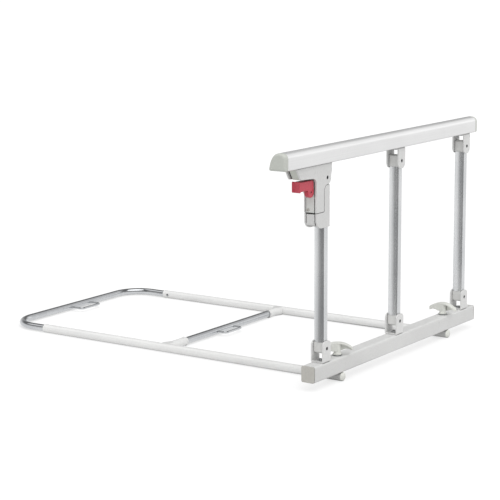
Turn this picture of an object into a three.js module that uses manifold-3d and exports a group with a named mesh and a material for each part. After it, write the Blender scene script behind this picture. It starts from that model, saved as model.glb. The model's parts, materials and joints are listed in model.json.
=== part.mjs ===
// Folding bed guard rail, in millimetres, +Z up.
// +X runs along the rail, +Y runs under the bed, -Y faces the room.
// The origin is the middle of the underside, so the floor is Z = 0.
import * as THREE from 'three';
import { mergeVertices } from 'three/addons/utils/BufferGeometryUtils.js';
import Module from 'manifold-3d';

const wasm = await Module();
wasm.setup();

// Fits
const fitGap = 0.3; // between pieces that slide, turn or seat in each other
const overrun = 2; // how far a cut runs past what it cuts
const smallRound = 5.6; // rounds under this radius have the fewest facets
const mediumRound = 10;

// Under-bed tubes
const sideTubeDiameter = 19;
const sideTubeWall = 1.2;
const sideTubeEnd = 810; // from the bar's front face
const nearTubeSetback = 64; // from the first post
const farTubeSetback = 76; // from the last post
const innerTubeWall = 1.2;
const plugDome = 5;
const plugOverhang = 2; // in front of the bar
const plugSpigot = 6.5;
const crossPlace = 461;
const nearStubReach = 74;
const farStubReach = 53;
const stubFlareRadius = 14;
const stubFlareLength = 20;
const stubLip = 1;
const stubLipLength = 4;
const stubEngagement = 38; // how deep the cross tube sits in a stub
const uBeyondTubes = 104; // from the side tubes' ends to the middle of the U's far run
const uBendRadius = 65;
const uLegEngagement = 95;

// Wire loops for a strap
const loopWire = 5.5;
const loopBend = 9;
const uLoopShift = 13.5; // from the middle between the side tubes
const uLoopWidth = 75;
const uLoopReach = 44;
const crossLoopShift = -7;
const crossLoopWidth = 70;
const crossLoopReach = 33;

// Snap buttons and their leaf clips
const buttonDiameter = 6;
const buttonSetback = 15; // from the end of the side tube
const buttonStandOut = 1.8;
const buttonTravel = 3;
const buttonFlange = 8;
const buttonFlangeThickness = 1.2;
const clipStrip = 0.8;
const clipWidth = 5;
const clipLength = 42;
const clipBend = 2.2;

// Bottom bar and its caps
const barDepth = 31;
const barHeight = 34;
const barWall = 1.5;
const barCorner = 4;
const capFlange = 3;
const capRim = 1.2;
const capPlug = 14;
const capWall = 2;

// Posts
const postToBarEnd = 50;
const postSpacing = 300;
const postCount = 3;
const postWidth = 14; // between its corners, along the rail
const postDepth = 23;
const postCrown = 2.5; // how far the front and back of the section bulge
const postWall = 1.4;
const linkLength = 350; // between the pins of one post
const postEndInset = 13; // from a pin to the end of the tube
const fittingWidth = 17;
const footRadius = 11;
const fittingPlug = 26;
const fittingPlugWall = 3;

// U brackets and pivot pins
const pinToBase = 29; // from a pin to the bar or to the handrail
const bracketLength = 29;
const bracketDepth = 30;
const bracketHeight = 45.3;
const bracketSheet = 3;
const bracketBend = 4;
const earCornerRun = 11.5;
const footEarCornerRise = 8;
const headEarCornerRise = 12;
const pinDiameter = 7;
const pinRecess = 0.6;
const socketAcross = 4;
const socketDepth = 3;
const screwDiameter = 5;
const screwLength = 10;
const screwHead = 10;
const screwHeadHeight = 3;

// Handrail and its caps
const railNearReach = 161; // from the first pin to the near cap's face
const railFarReach = 42; // from the last pin to the far cap's face
const railDepth = 39;
const railHeight = 35;
const railWall = 2;
const railCapLength = 11;
const railCapRim = 5;
const railFootCorner = 3;

// Wing knobs, their washers and clamp bolts
const clampDiameter = 8;
const clampHead = 10;
const clampHeadHeight = 5;
const clampReach = 19; // above the bar
const washerDiameter = 21;
const washerThickness = 1.5;
const knobTop = 28; // above the bar
const knobSpan = 66;
const knobWingWidth = 15;
const knobShell = 3;
const knobDroop = 13;
const knobTipDepth = 6;
const knobScallop = 3; // how far the lower edge of a wing rises between its tip and the hub
const knobHubDiameter = 15;
const knobSkirtDiameter = 18;
const knobSkirtHeight = 3;
const knobTipRadius = 6;
const knobTurns = { near: (2 * Math.PI) / 9, far: 0 };

// Latch housing, measured from the first upper pin
const plateThickness = 3.75;
const armReach = 112;
const armTipDrop = 2;
const armToeReach = 98;
const armToeHeight = 5.4;
const armHeelHeight = 2.5;
const legReach = 41;
const legSetback = 12.1; // from the pin to the inner edge of the leg
const legBottom = 67.6;
const legFillet = 12;
const noseReach = 17;
const noseHeight = 13.2;
const bossRadius = 13.9;
const bossOpening = Math.PI / 9; // where the boss meets the nose
const riserTop = 14.7;
const riserShoulder = 12;
const edgeSoftening = 1.5;

// Core of the latch housing
const coreInset = 0.7; // behind the edges of the plates
const coreWall = 3;
const coreRoof = 4;
const coreCorner = 1.6;
const coreSole = 7;
const webInset = 6;
const webFoot = 4.5;
const guideDrop = 36;
const guideThickness = 3;
const leverPinPlace = 52.3;
const leverPinDrop = 24;
const leverPinDiameter = 4;
const lugWidth = 6;
const lugRadius = 4;
const legScrewDiameter = 6;
const legScrewOffset = 5.5;
const legScrewRise = 5.6;
const legScrewLength = 8;

// Latch sleeve on the first post
const sleeveGap = 1; // below the leg
const sleeveBottom = 99.7;
const sleeveFront = 39.8;
const sleeveBack = 8.3;
const sleeveCrown = 3.7;
const riserFront = 11.1;
const riserRoof = 7.7;
const sleeveHeelRadius = 18;
const sleeveToeRadius = 6;
const sleeveEdge = 1.2;
const sleeveSlit = 0.7; // between the cheeks and the inner block
const innerBlockInset = 0.6;
const innerBlockRise = 3; // above the cheeks' lower edge
const innerBlockCorner = 2.2;
const tongueRadius = 11;
const sleeveScrewRise = 14;

// Latch bolt and its spring
const boltPlace = 27;
const boltDiameter = 10;
const boltNose = 1.5;
const boltTop = 2; // below the pin
const boltCollar = 14;
const boltCollarHeight = 2;
const boltStem = 5;
const boltStemHeight = 8;
const socketReach = 12;
const springWire = 1.2;
const springTurns = 7;
const springMean = 9;

// Release lever
const leverWidth = 18.7;
const leverWall = 2.5;
const padReach = 94.3;
const padTop = 2.5;
const padBottom = 21;
const padThickness = 5;
const padHollow = 1;
const padHollowWidth = 15;
const leverTop = 0.5;
const leverBack = 42.5;
const scallopHeight = 14.5;
const scallopReach = 76;
const lobeRadius = 11;
const lobeDepth = 9.8;
const leverCorner = 5;
const leverRim = 0.9;
const padCorner = 2.2;
const tailReach = 26.5; // from the lever pin
const tailRise = 9.4; // from the lever pin to the top of the tail
const tailThickness = 4.4;
const tailWidth = 5;
const leverTurn = Math.PI / 12;

// Places that follow from the sizes above
const midDepth = barDepth / 2;
const sideTubeRadius = sideTubeDiameter / 2;
const innerTubeRadius = sideTubeRadius - sideTubeWall - fitGap;
const barFloor = sideTubeDiameter;
const barTop = barFloor + barHeight;
const lowPinHeight = barTop + pinToBase;
const highPinHeight = lowPinHeight + linkLength;
const postPlaces = Array.from({ length: postCount }, (unused, index) => postToBarEnd + index * postSpacing);
const firstPost = postPlaces.at(0);
const lastPost = postPlaces.at(-1);
const barLength = lastPost + postToBarEnd;
const tubePlaces = { near: firstPost + nearTubeSetback, far: lastPost - farTubeSetback };
const tubeMiddle = (tubePlaces.near + tubePlaces.far) / 2;
const uReach = sideTubeEnd + uBeyondTubes;
const gapBetweenEars = bracketDepth - 2 * bracketSheet;
const gapBetweenPlates = bracketDepth - 2 * plateThickness;
const coreDepth = gapBetweenPlates - 2 * fitGap;
const springFoot = -boltTop + boltCollarHeight + fitGap;
const springHead = pinToBase - coreRoof - coreWall - fitGap;

// Outline helpers: every outline is a list of points

function point(u, v) {
  return new THREE.Vector2(u, v);
}

// The turn of one facet of a round.
function facetTurn(radius) {
  if (radius < smallRound) return Math.PI / 6;
  return radius < mediumRound ? Math.PI / 8 : Math.PI / 12;
}

// Points of an elliptical arc, both ends included.
function arc(centre, radiusU, radiusV, from, to) {
  const sweep = Math.abs(to - from);
  const steps = Math.max(2, Math.round(sweep / facetTurn(Math.max(radiusU, radiusV))));
  return Array.from({ length: steps + 1 }, (unused, index) => {
    const angle = from + ((to - from) * index) / steps;
    return point(centre.x + radiusU * Math.cos(angle), centre.y + radiusV * Math.sin(angle));
  });
}

// The radius of an arc over a chord, from half the chord and its rise.
function bulgeRadius(half, rise) {
  return (half ** 2 + rise ** 2) / (2 * rise);
}

function circle(u, v, radius) {
  return arc(point(u, v), radius, radius, 0, 2 * Math.PI).slice(1);
}

// Corners given as [u, v, radius] become arcs of that radius.
function rounded(corners) {
  return corners.flatMap(([u, v, radius = 0], index) => {
    const corner = point(u, v);
    if (radius === 0) return [corner];
    const before = corners.at(index - 1);
    const after = corners[(index + 1) % corners.length];
    const back = point(before[0], before[1]).sub(corner).normalize();
    const on = point(after[0], after[1]).sub(corner).normalize();
    const half = Math.acos(THREE.MathUtils.clamp(back.dot(on), -1, 1)) / 2;
    const middle = back.clone().add(on).normalize();
    const centre = corner.clone().addScaledVector(middle, radius / Math.sin(half));
    const start = corner.clone().addScaledVector(back, radius / Math.tan(half)).sub(centre).angle();
    const turn = (back.cross(on) > 0 ? -1 : 1) * (Math.PI - 2 * half);
    return arc(centre, radius, radius, start, start + turn);
  });
}

function rectangle(left, right, low, high, radius = 0) {
  return rounded([
    [left, low, radius],
    [right, low, radius],
    [right, high, radius],
    [left, high, radius],
  ]);
}

// Solid helpers

function solidOf(geometry) {
  const bare = geometry.clone();
  bare.deleteAttribute('normal');
  bare.deleteAttribute('uv');
  const merged = mergeVertices(bare);
  const vertProperties = new Float32Array(merged.attributes.position.array);
  const triVerts = new Uint32Array(merged.index.array);
  return new wasm.Manifold(new wasm.Mesh({ numProp: 3, vertProperties, triVerts }));
}

function geometryOf(solid) {
  const mesh = solid.getMesh();
  const geometry = new THREE.BufferGeometry();
  geometry.setAttribute('position', new THREE.BufferAttribute(mesh.vertProperties, 3));
  geometry.setIndex(new THREE.BufferAttribute(mesh.triVerts, 1));
  return geometry;
}

function join(...solids) {
  return solids.reduce((whole, piece) => whole.add(piece));
}

function cut(solid, ...tools) {
  return tools.reduce((whole, tool) => whole.subtract(tool), solid);
}

// Outlines are drawn in YZ for a prism along X, in XZ along Y and in XY along Z.
const prismFrames = {
  x: new THREE.Matrix4().makeBasis(
    new THREE.Vector3(0, 1, 0), new THREE.Vector3(0, 0, 1), new THREE.Vector3(1, 0, 0)),
  y: new THREE.Matrix4().makeBasis(
    new THREE.Vector3(1, 0, 0), new THREE.Vector3(0, 0, 1), new THREE.Vector3(0, -1, 0)),
  z: new THREE.Matrix4(),
};

// A prism between two places on its axis, with round rims where a rim is given.
function prism(outline, axis, from, to, rim = 0, hole = null) {
  const shape = new THREE.Shape(outline);
  if (hole) shape.holes.push(new THREE.Path(hole));
  const geometry = new THREE.ExtrudeGeometry(shape, {
    depth: to - from - 2 * rim,
    bevelEnabled: rim > 0,
    bevelThickness: rim,
    bevelSize: rim,
    bevelOffset: -rim,
    bevelSegments: rim < edgeSoftening ? 1 : 2,
  });
  geometry.translate(0, 0, axis === 'y' ? rim - to : from + rim);
  return solidOf(geometry.applyMatrix4(prismFrames[axis]));
}

// A skin over copies of one outline, each [place on the X axis, share of its width, share of its height],
// shrunk towards a middle point, with flat ends.
function lofted(outline, middle, sections) {
  const rings = sections.map(([place, widthShare, heightShare]) => outline.map(({ x, y }) =>
    [place, middle.x + (x - middle.x) * widthShare, middle.y + (y - middle.y) * heightShare]));
  const count = outline.length;
  const last = (rings.length - 1) * count;
  const faces = [];
  for (const [a, b, c] of THREE.ShapeUtils.triangulateShape(outline, [])) {
    faces.push(c, b, a, last + a, last + b, last + c);
  }
  for (let ring = 0; ring < last; ring += count) {
    for (let index = 0; index < count; index += 1) {
      const next = (index + 1) % count;
      faces.push(ring + index, ring + next, ring + count + next);
      faces.push(ring + index, ring + count + next, ring + count + index);
    }
  }
  const geometry = new THREE.BufferGeometry();
  geometry.setAttribute('position', new THREE.Float32BufferAttribute(rings.flat(2), 3));
  geometry.setIndex(faces);
  return solidOf(geometry);
}

// A rod along an axis. Its place is given as in the outline of a prism.
function rod(radius, axis, from, to, u = 0, v = 0) {
  return prism(circle(u, v, radius), axis, from, to);
}

// A turned piece round the Z axis, from [radius, height] pairs.
function turned(profile) {
  const points = profile.map(([radius, height]) => point(radius, height));
  const widest = Math.max(...points.map(({ x }) => x));
  const lathe = new THREE.LatheGeometry(points, Math.round((2 * Math.PI) / facetTurn(widest)));
  return solidOf(lathe.rotateX(Math.PI / 2));
}

// A path of straight runs and round bends, with a station only where it turns.
class BentPath extends THREE.Curve {
  constructor(stations) {
    super();
    this.stations = stations;
  }

  getPointAt(share, target = new THREE.Vector3()) {
    return target.copy(this.stations[Math.round(share * (this.stations.length - 1))].place);
  }

  getTangentAt(share, target = new THREE.Vector3()) {
    return target.copy(this.stations[Math.round(share * (this.stations.length - 1))].heading);
  }
}

// Stations of a U in the XY plane, open towards -Y when reach is positive.
function uStations(left, right, start, end, bend) {
  const side = Math.sign(end - start);
  const steps = Math.round(Math.PI / 2 / facetTurn(bend));
  const turnRound = (centreX, from) => Array.from({ length: steps + 1 }, (unused, index) => {
    const angle = from - ((Math.PI / 2) * index) / steps;
    return {
      place: new THREE.Vector3(
        centreX + bend * Math.cos(angle), end - side * bend * (1 - Math.sin(angle)), 0),
      heading: new THREE.Vector3(Math.sin(angle), -side * Math.cos(angle), 0),
    };
  });
  return [
    { place: new THREE.Vector3(left, start, 0), heading: new THREE.Vector3(0, side, 0) },
    ...turnRound(left + bend, Math.PI),
    ...turnRound(right - bend, Math.PI / 2),
    { place: new THREE.Vector3(right, start, 0), heading: new THREE.Vector3(0, -side, 0) },
  ];
}

function bentTube(stations, radius, wall = 0) {
  const shape = new THREE.Shape(circle(0, 0, radius));
  if (wall > 0) shape.holes.push(new THREE.Path(circle(0, 0, radius - wall)));
  return new THREE.ExtrudeGeometry(shape, {
    steps: stations.length - 1,
    extrudePath: new BentPath(stations),
  });
}

// Finishes, one material for each mesh

const finishes = {
  powderGrey: { color: 0xcfd2ce, roughness: 0.45, metalness: 0.1 },
  postAluminium: { color: 0xd6d8d8, roughness: 0.35, metalness: 0.6 },
  railAluminium: { color: 0xeceeec, roughness: 0.4, metalness: 0.1 },
  capGrey: { color: 0xb9b7b0, roughness: 0.55, metalness: 0 },
  capGreen: { color: 0xc0c4bc, roughness: 0.5, metalness: 0 },
  coreGreen: { color: 0xa5aaa0, roughness: 0.55, metalness: 0 },
  leverRed: { color: 0xc0404b, roughness: 0.4, metalness: 0 },
  knobWhite: { color: 0xdcddd6, roughness: 0.45, metalness: 0 },
  tubeWhite: { color: 0xe8e9e6, roughness: 0.4, metalness: 0.05 },
  chrome: { color: 0xd8dadb, roughness: 0.12, metalness: 1 },
  steel: { color: 0x9a9c9e, roughness: 0.35, metalness: 0.9 },
  darkSteel: { color: 0x3a3b3d, roughness: 0.5, metalness: 0.7 },
  darkPlastic: { color: 0x2e2f31, roughness: 0.6, metalness: 0 },
};

function piece(name, shape, finish) {
  const geometry = shape.isBufferGeometry ? shape : geometryOf(shape);
  const mesh = new THREE.Mesh(geometry, new THREE.MeshStandardMaterial(finishes[finish]));
  mesh.name = name;
  return mesh;
}

// Bottom bar

function barOutline(inset) {
  const half = midDepth - inset;
  return rectangle(midDepth - half, midDepth + half, barFloor + inset, barTop - inset, barCorner - inset);
}

function bottomBar() {
  const tube = prism(barOutline(0), 'x', capFlange, barLength - capFlange, 0, barOutline(barWall));
  const clampHoles = Object.values(tubePlaces).map((place) =>
    rod(clampDiameter / 2 + fitGap, 'z', barFloor - overrun, barTop + overrun, place, midDepth));
  const screwHoles = postPlaces.map((place) =>
    rod(screwDiameter / 2 + fitGap, 'z', barTop - barHeight / 2, barTop + overrun, place, midDepth));
  return cut(tube, ...clampHoles, ...screwHoles);
}

// The near cap. Its plug points along +X.
function barCap() {
  const whole = prism(barOutline(0), 'x', 0, 2 * capFlange, capRim);
  const spare = rectangle(-overrun, barDepth + overrun, barFloor - overrun, barTop + overrun);
  const flange = cut(whole, prism(spare, 'x', capFlange, 2 * capFlange + overrun));
  const plugInset = barWall + fitGap;
  const plug = prism(barOutline(plugInset), 'x', capFlange - capRim, capFlange + capPlug, 0,
    barOutline(plugInset + capWall));
  return join(flange, plug);
}

// U bracket, with the pin on the Y axis and the base below it

function bracket(cornerRise) {
  const half = bracketDepth / 2;
  const ears = bracketHeight - pinToBase;
  const inner = half - bracketSheet;
  const channel = [
    ...rounded([
      [-half, ears],
      [-half, -pinToBase, bracketBend],
      [half, -pinToBase, bracketBend],
      [half, ears],
      [inner, ears],
      [inner, bracketSheet - pinToBase, bracketBend - bracketSheet],
      [-inner, bracketSheet - pinToBase, bracketBend - bracketSheet],
      [-inner, ears],
    ]),
  ];
  const reach = bracketLength / 2;
  const sideView = [
    point(-reach, -pinToBase - overrun),
    point(reach, -pinToBase - overrun),
    ...arc(point(reach - earCornerRun, ears - cornerRise), earCornerRun, cornerRise, 0, Math.PI / 2),
    ...arc(point(earCornerRun - reach, ears - cornerRise), earCornerRun, cornerRise, Math.PI / 2, Math.PI),
  ];
  const bent = prism(channel, 'x', -reach, reach)
    .intersect(prism(sideView, 'y', -half - overrun, half + overrun));
  return cut(bent,
    rod(pinDiameter / 2 + fitGap, 'y', -half - overrun, half + overrun),
    rod(screwDiameter / 2 + fitGap, 'z', -pinToBase - overrun, overrun - pinToBase + bracketSheet));
}

// A pivot pin along Y, with a six-sided socket in each end
function pivotPin() {
  const half = bracketDepth / 2 - pinRecess;
  const corner = socketAcross / 2 / Math.cos(Math.PI / 6);
  const socket = Array.from({ length: 6 }, (unused, index) =>
    point(corner * Math.cos((index * Math.PI) / 3), corner * Math.sin((index * Math.PI) / 3)));
  return cut(rod(pinDiameter / 2, 'y', -half, half),
    prism(socket, 'y', -half - overrun, socketDepth - half),
    prism(socket, 'y', half - socketDepth, half + overrun));
}

// A pan-head screw that points up +Z, with its head below z = 0
function screw() {
  const socket = socketAcross / 2;
  return turned([
    [0, socketDepth / 2 - screwHeadHeight],
    [socket, socketDepth / 2 - screwHeadHeight],
    [socket, -screwHeadHeight],
    [screwHead / 2 - capRim, -screwHeadHeight],
    [screwHead / 2, capRim - screwHeadHeight],
    [screwHead / 2, 0],
    [screwDiameter / 2, 0],
    [screwDiameter / 2, screwLength - capRim],
    [screwDiameter / 2 - capRim, screwLength],
    [0, screwLength],
  ]);
}

// Posts, with the lower pin on the Y axis

// Section of the post: flat sides, convex front and back. A negative inset grows it.
function postOutline(inset) {
  const halfDepth = postDepth / 2;
  const radius = bulgeRadius(halfDepth, postCrown);
  const centre = postWidth / 2 + postCrown - radius;
  const sweep = Math.asin((halfDepth - inset) / (radius - inset));
  const crown = (side, start) => arc(point(side * centre, 0), radius - inset, radius - inset,
    start - sweep, start + sweep);
  return [...crown(1, 0), ...crown(-1, Math.PI)];
}

function post(length) {
  return prism(postOutline(0), 'z', postEndInset, postEndInset + length, 0, postOutline(postWall));
}

// End fitting of a post: a rounded eye for the pin and a hollow plug above it
function endFitting(eyeRadius) {
  const half = fittingWidth / 2;
  const sweep = Math.asin(half / eyeRadius);
  const eye = [
    ...arc(point(0, 0), eyeRadius, eyeRadius, -Math.PI / 2 - sweep, sweep - Math.PI / 2),
    point(half, postEndInset),
    point(-half, postEndInset),
  ];
  const depth = gapBetweenEars / 2 - fitGap;
  const plugInset = postWall + fitGap;
  const plug = cut(
    prism(postOutline(plugInset), 'z', postEndInset - edgeSoftening, postEndInset + fittingPlug),
    prism(postOutline(plugInset + fittingPlugWall), 'z', postEndInset, postEndInset + fittingPlug + overrun));
  return cut(join(prism(eye, 'y', -depth, depth, edgeSoftening / 2), plug),
    rod(pinDiameter / 2 + fitGap, 'y', -bracketDepth, bracketDepth));
}

// Handrail, in the frame of the first upper pin

// The loaf-shaped section: upright towards the room, leaning in towards the bed.
function railOutline(inset) {
  const half = railDepth / 2 - inset;
  const low = pinToBase + inset;
  const high = pinToBase + railHeight - inset;
  const rise = high - low;
  const width = 2 * half;
  const corner = railFootCorner;
  const crownShare = 0.42;
  const frontShoulderShare = 0.66;
  const backControlShares = [0.95, 0.43, 0.82];
  const frontControlShares = [0.2, 0.93];
  const backFacets = 8;
  const frontFacets = 5;
  const across = (share) => share * width - half;
  const back = new THREE.CubicBezierCurve(
    point(half, low + corner),
    point(across(backControlShares[0]), low + backControlShares[1] * rise),
    point(across(backControlShares[2]), high),
    point(across(crownShare), high));
  const front = new THREE.CubicBezierCurve(
    point(across(crownShare), high),
    point(across(frontControlShares[0]), high),
    point(-half, low + frontControlShares[1] * rise),
    point(-half, low + frontShoulderShare * rise));
  return [
    ...arc(point(corner - half, low + corner), corner, corner, Math.PI, 1.5 * Math.PI),
    ...arc(point(half - corner, low + corner), corner, corner, -Math.PI / 2, 0),
    ...back.getPoints(backFacets).slice(1),
    ...front.getPoints(frontFacets).slice(1),
  ];
}

const railStart = railCapLength - railNearReach;
const railEnd = lastPost - firstPost + railFarReach - railCapLength;

function handrail() {
  const tube = prism(railOutline(0), 'x', railStart, railEnd, 0, railOutline(railWall));
  const holes = railScrewPlaces().map((place) =>
    rod(screwDiameter / 2 + fitGap, 'z', pinToBase - overrun, pinToBase + railHeight / 2, place, 0));
  return cut(tube, ...holes);
}

// The near cap of the handrail: a rounded rim outside, a hollow plug inside
function railCap() {
  const rim = arc(point(0, 0), railCapRim, railCapRim, 0, Math.PI / 2).map(({ x, y }) => {
    const inset = 2 * (railCapRim - x);
    return [railCapRim - y - railNearReach, 1 - inset / railDepth, 1 - inset / railHeight];
  });
  const middle = point(0, pinToBase + railHeight / 2);
  const face = lofted(railOutline(0), middle, [...rim.reverse(), [railStart, 1, 1]]);
  const plugInset = railWall + fitGap;
  const plug = prism(railOutline(plugInset), 'x', railStart - capWall, railStart + capPlug, 0,
    railOutline(plugInset + capWall));
  return join(face, plug);
}

// Latch housing, in the frame of the first upper pin

function plateOutline() {
  const shoulder = riserShoulder + riserTop - bossRadius;
  return [
    point(-armReach, pinToBase - armTipDrop),
    point(-armToeReach, armToeHeight),
    ...arc(point(-legReach - legFillet, armHeelHeight - legFillet), legFillet, legFillet, Math.PI / 2, 0),
    ...rounded([
      [-legReach, 0],
      [-legReach, -legBottom, edgeSoftening],
      [-legSetback, -legBottom, edgeSoftening],
      [-legSetback, 0],
    ]).slice(1, -1),
    ...arc(point(shoulder - legSetback, -riserTop - riserShoulder), shoulder, shoulder, Math.PI, Math.PI / 2),
    ...arc(point(0, 0), bossRadius, bossRadius, -Math.PI / 2, bossOpening).slice(1),
    point(noseReach, noseHeight),
    point(noseReach, pinToBase),
    point(-armReach, pinToBase),
  ];
}

function latchPlate() {
  return cut(prism(plateOutline(), 'y', 0, plateThickness),
    rod(pinDiameter / 2 + fitGap, 'y', -overrun, plateThickness + overrun));
}

const legFace = coreInset - legReach;
const legInner = -legSetback - coreInset / 2;
const legSole = coreInset / 2 - legBottom;
const lobeBack = lobeDepth - leverWidth / 2;

function housingScrewPlaces() {
  return [-(armToeReach + legReach) / 2, (noseReach - riserFront) / 2];
}

// Everything that is screwed up into the handrail, measured from the first post
function railScrewPlaces() {
  return [...postPlaces.slice(1).map((place) => place - firstPost), ...housingScrewPlaces()];
}

function latchCore() {
  const half = coreDepth / 2;
  const roof = prism(rectangle(coreInset - armReach, noseReach - coreInset, pinToBase - coreRoof, pinToBase),
    'y', -half, half);
  const slope = (armReach - armToeReach) / (pinToBase - armTipDrop - armToeHeight);
  const webTop = webInset - armReach;
  const webToe = webTop + slope * (pinToBase - coreRoof - webFoot);
  const web = prism([
    point(webTop, pinToBase - coreRoof),
    point(webToe, webFoot),
    point(webToe + coreWall, webFoot),
    point(webTop + coreWall, pinToBase - coreRoof),
  ], 'y', -half, half);
  const legTop = pinToBase - coreRoof;
  const legHollow = rectangle(legFace + coreWall, legInner - coreWall, legSole + coreSole, legTop - coreWall);
  const legSide = rectangle(legFace, legInner, legSole, legTop, edgeSoftening);
  const legPlan = rectangle(legFace, legInner, -half, half, coreCorner);
  const leg = prism(legSide, 'y', -half, half, 0, legHollow).intersect(prism(legPlan, 'z', legSole, legTop));
  const guide = prism(rectangle(legFace + coreWall / 2, legInner - coreWall / 2,
    -guideDrop - guideThickness, -guideDrop), 'y', -half, half);
  const lugFront = lobeBack + fitGap;
  const lugNeck = rectangle(
    -leverPinPlace, legFace + coreWall / 2, -leverPinDrop - lugRadius, lugRadius - leverPinDrop);
  const lug = join(
    rod(lugRadius, 'y', lugFront, lugFront + lugWidth, -leverPinPlace, -leverPinDrop),
    prism(lugNeck, 'y', lugFront, lugFront + lugWidth));
  const tailHalf = tailWidth / 2 + fitGap;
  const windowFloor = tailRise - tailThickness - leverPinDrop - 2 * fitGap;
  const windowReach = leverPinPlace + legFace + coreWall;
  const liftedTail = tailRise / Math.cos(leverTurn) + windowReach * Math.tan(leverTurn);
  const windowRoof = liftedTail - leverPinDrop + fitGap;
  const tailWindow = prism(rectangle(-tailHalf, tailHalf, windowFloor, windowRoof),
    'x', legFace - overrun, legFace + coreWall + overrun);
  const boltBore = rod(
    boltDiameter / 2 + fitGap, 'z', -legBottom - overrun, overrun - guideDrop, -boltPlace, 0);
  const screwBores = housingScrewPlaces().map((place) =>
    rod(screwDiameter / 2 + fitGap, 'z', pinToBase - coreRoof - overrun, pinToBase + overrun, place, 0));
  const legScrewBore = rod(legScrewDiameter / 4 + fitGap, 'x',
    legFace - overrun, legFace + legScrewLength + overrun, legScrewOffset, legSole + legScrewRise);
  return cut(join(roof, web, leg, guide, lug), tailWindow, boltBore, legScrewBore, ...screwBores,
    rod(leverPinDiameter / 2 + fitGap, 'y', -half, half, -leverPinPlace, -leverPinDrop));
}

// The small screw in the lower end of the leg, pointing along +X
function legScrew() {
  const radius = legScrewDiameter / 2;
  const place = [legScrewOffset, legSole + legScrewRise];
  return join(
    cut(rod(radius, 'x', legFace - legScrewDiameter / 4, legFace, ...place),
      rod(radius / 2, 'x', legFace - legScrewDiameter, legFace - legScrewDiameter / 8, ...place)),
    rod(radius / 2, 'x', legFace - legScrewDiameter / 8, legFace + legScrewLength, ...place));
}

// Latch sleeve: a block under the leg, a riser round the post and a tongue at the pin.
// Two cheeks with rounded heels hold an inner block, with a slit beside each.
function latchSleeve() {
  const half = bracketDepth / 2;
  const blockTop = -legBottom - sleeveGap;
  const back = sleeveBack + sleeveCrown;
  const sideView = rounded([
    [-sleeveFront, -sleeveBottom, sleeveHeelRadius],
    [back, -sleeveBottom, sleeveToeRadius],
    [back, -riserTop, 0],
    [-riserFront, -riserTop, riserShoulder],
    [-riserFront, blockTop, edgeSoftening],
    [-sleeveFront, blockTop, edgeSoftening],
  ]);
  const crownRadius = bulgeRadius(half, sleeveCrown);
  const crownSweep = Math.asin(half / crownRadius);
  const plan = [
    ...rounded([
      [0, half],
      [-sleeveFront, half, sleeveEdge],
      [-sleeveFront, -half, sleeveEdge],
      [0, -half],
    ]).slice(1, -1),
    ...arc(point(back - crownRadius, 0), crownRadius, crownRadius, -crownSweep, crownSweep),
  ];
  const innerHalf = half - plateThickness - sleeveSlit;
  const innerFront = innerBlockInset - sleeveFront;
  const innerSole = innerBlockRise - sleeveBottom;
  const body = prism(sideView, 'y', -half, half)
    .intersect(prism(plan, 'z', -sleeveBottom - overrun, overrun - riserTop));
  const roomHalf = innerHalf + sleeveSlit;
  const blockRoom = prism(
    rectangle(-sleeveFront - overrun, -riserFront, -sleeveBottom - overrun, blockTop + overrun),
    'y', -roomHalf, roomHalf);
  const innerBlock = prism(rounded([
    [innerFront, innerSole, innerBlockCorner],
    [overrun - riserFront, innerSole, 0],
    [overrun - riserFront, blockTop, 0],
    [innerFront, blockTop, edgeSoftening],
  ]), 'y', -innerHalf, innerHalf).intersect(
    prism(rounded([
      [innerFront, -innerHalf, innerBlockCorner],
      [overrun - riserFront, -innerHalf, 0],
      [overrun - riserFront, innerHalf, 0],
      [innerFront, innerHalf, innerBlockCorner],
    ]), 'z', -sleeveBottom, blockTop));
  const tongueHalf = coreDepth / 2;
  const tongue = join(
    rod(tongueRadius, 'y', -tongueHalf, tongueHalf),
    prism(rectangle(-tongueRadius, tongueRadius, -riserTop - riserRoof, 0), 'y', -tongueHalf, tongueHalf));
  const screwHeight = sleeveScrewRise - sleeveBottom;
  return cut(join(cut(body, blockRoom), innerBlock, tongue),
    prism(postOutline(-fitGap), 'z', -sleeveBottom - overrun, -riserTop - riserRoof),
    rod(pinDiameter / 2 + fitGap, 'y', -half, half),
    rod(boltDiameter / 2 + fitGap, 'z', blockTop - socketReach, blockTop + overrun, -boltPlace, 0),
    rod(screwDiameter / 2 + fitGap, 'x', 0, back + overrun, 0, screwHeight));
}

// Latch bolt: a nose at the foot, a slot for the lever's tail, a collar and a stem for the spring
function latchBolt() {
  const radius = boltDiameter / 2;
  const foot = legSole + fitGap;
  const body = turned([
    [0, foot],
    [radius - boltNose, foot],
    [radius, foot + boltNose],
    [radius, -boltTop],
    [boltCollar / 2, -boltTop],
    [boltCollar / 2, boltCollarHeight - boltTop],
    [boltStem / 2, boltCollarHeight - boltTop],
    [boltStem / 2, boltStemHeight],
    [0, boltStemHeight],
  ]).translate([-boltPlace, 0, 0]);
  const slotRoof = tailRise - leverPinDrop + fitGap;
  const slotFloor = slotRoof - tailThickness - 2 * boltNose;
  return cut(body, prism(rectangle(-tailWidth / 2 - fitGap, tailWidth / 2 + fitGap, slotFloor, slotRoof),
    'x', -boltPlace - boltDiameter, boltDiameter - boltPlace));
}

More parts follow.
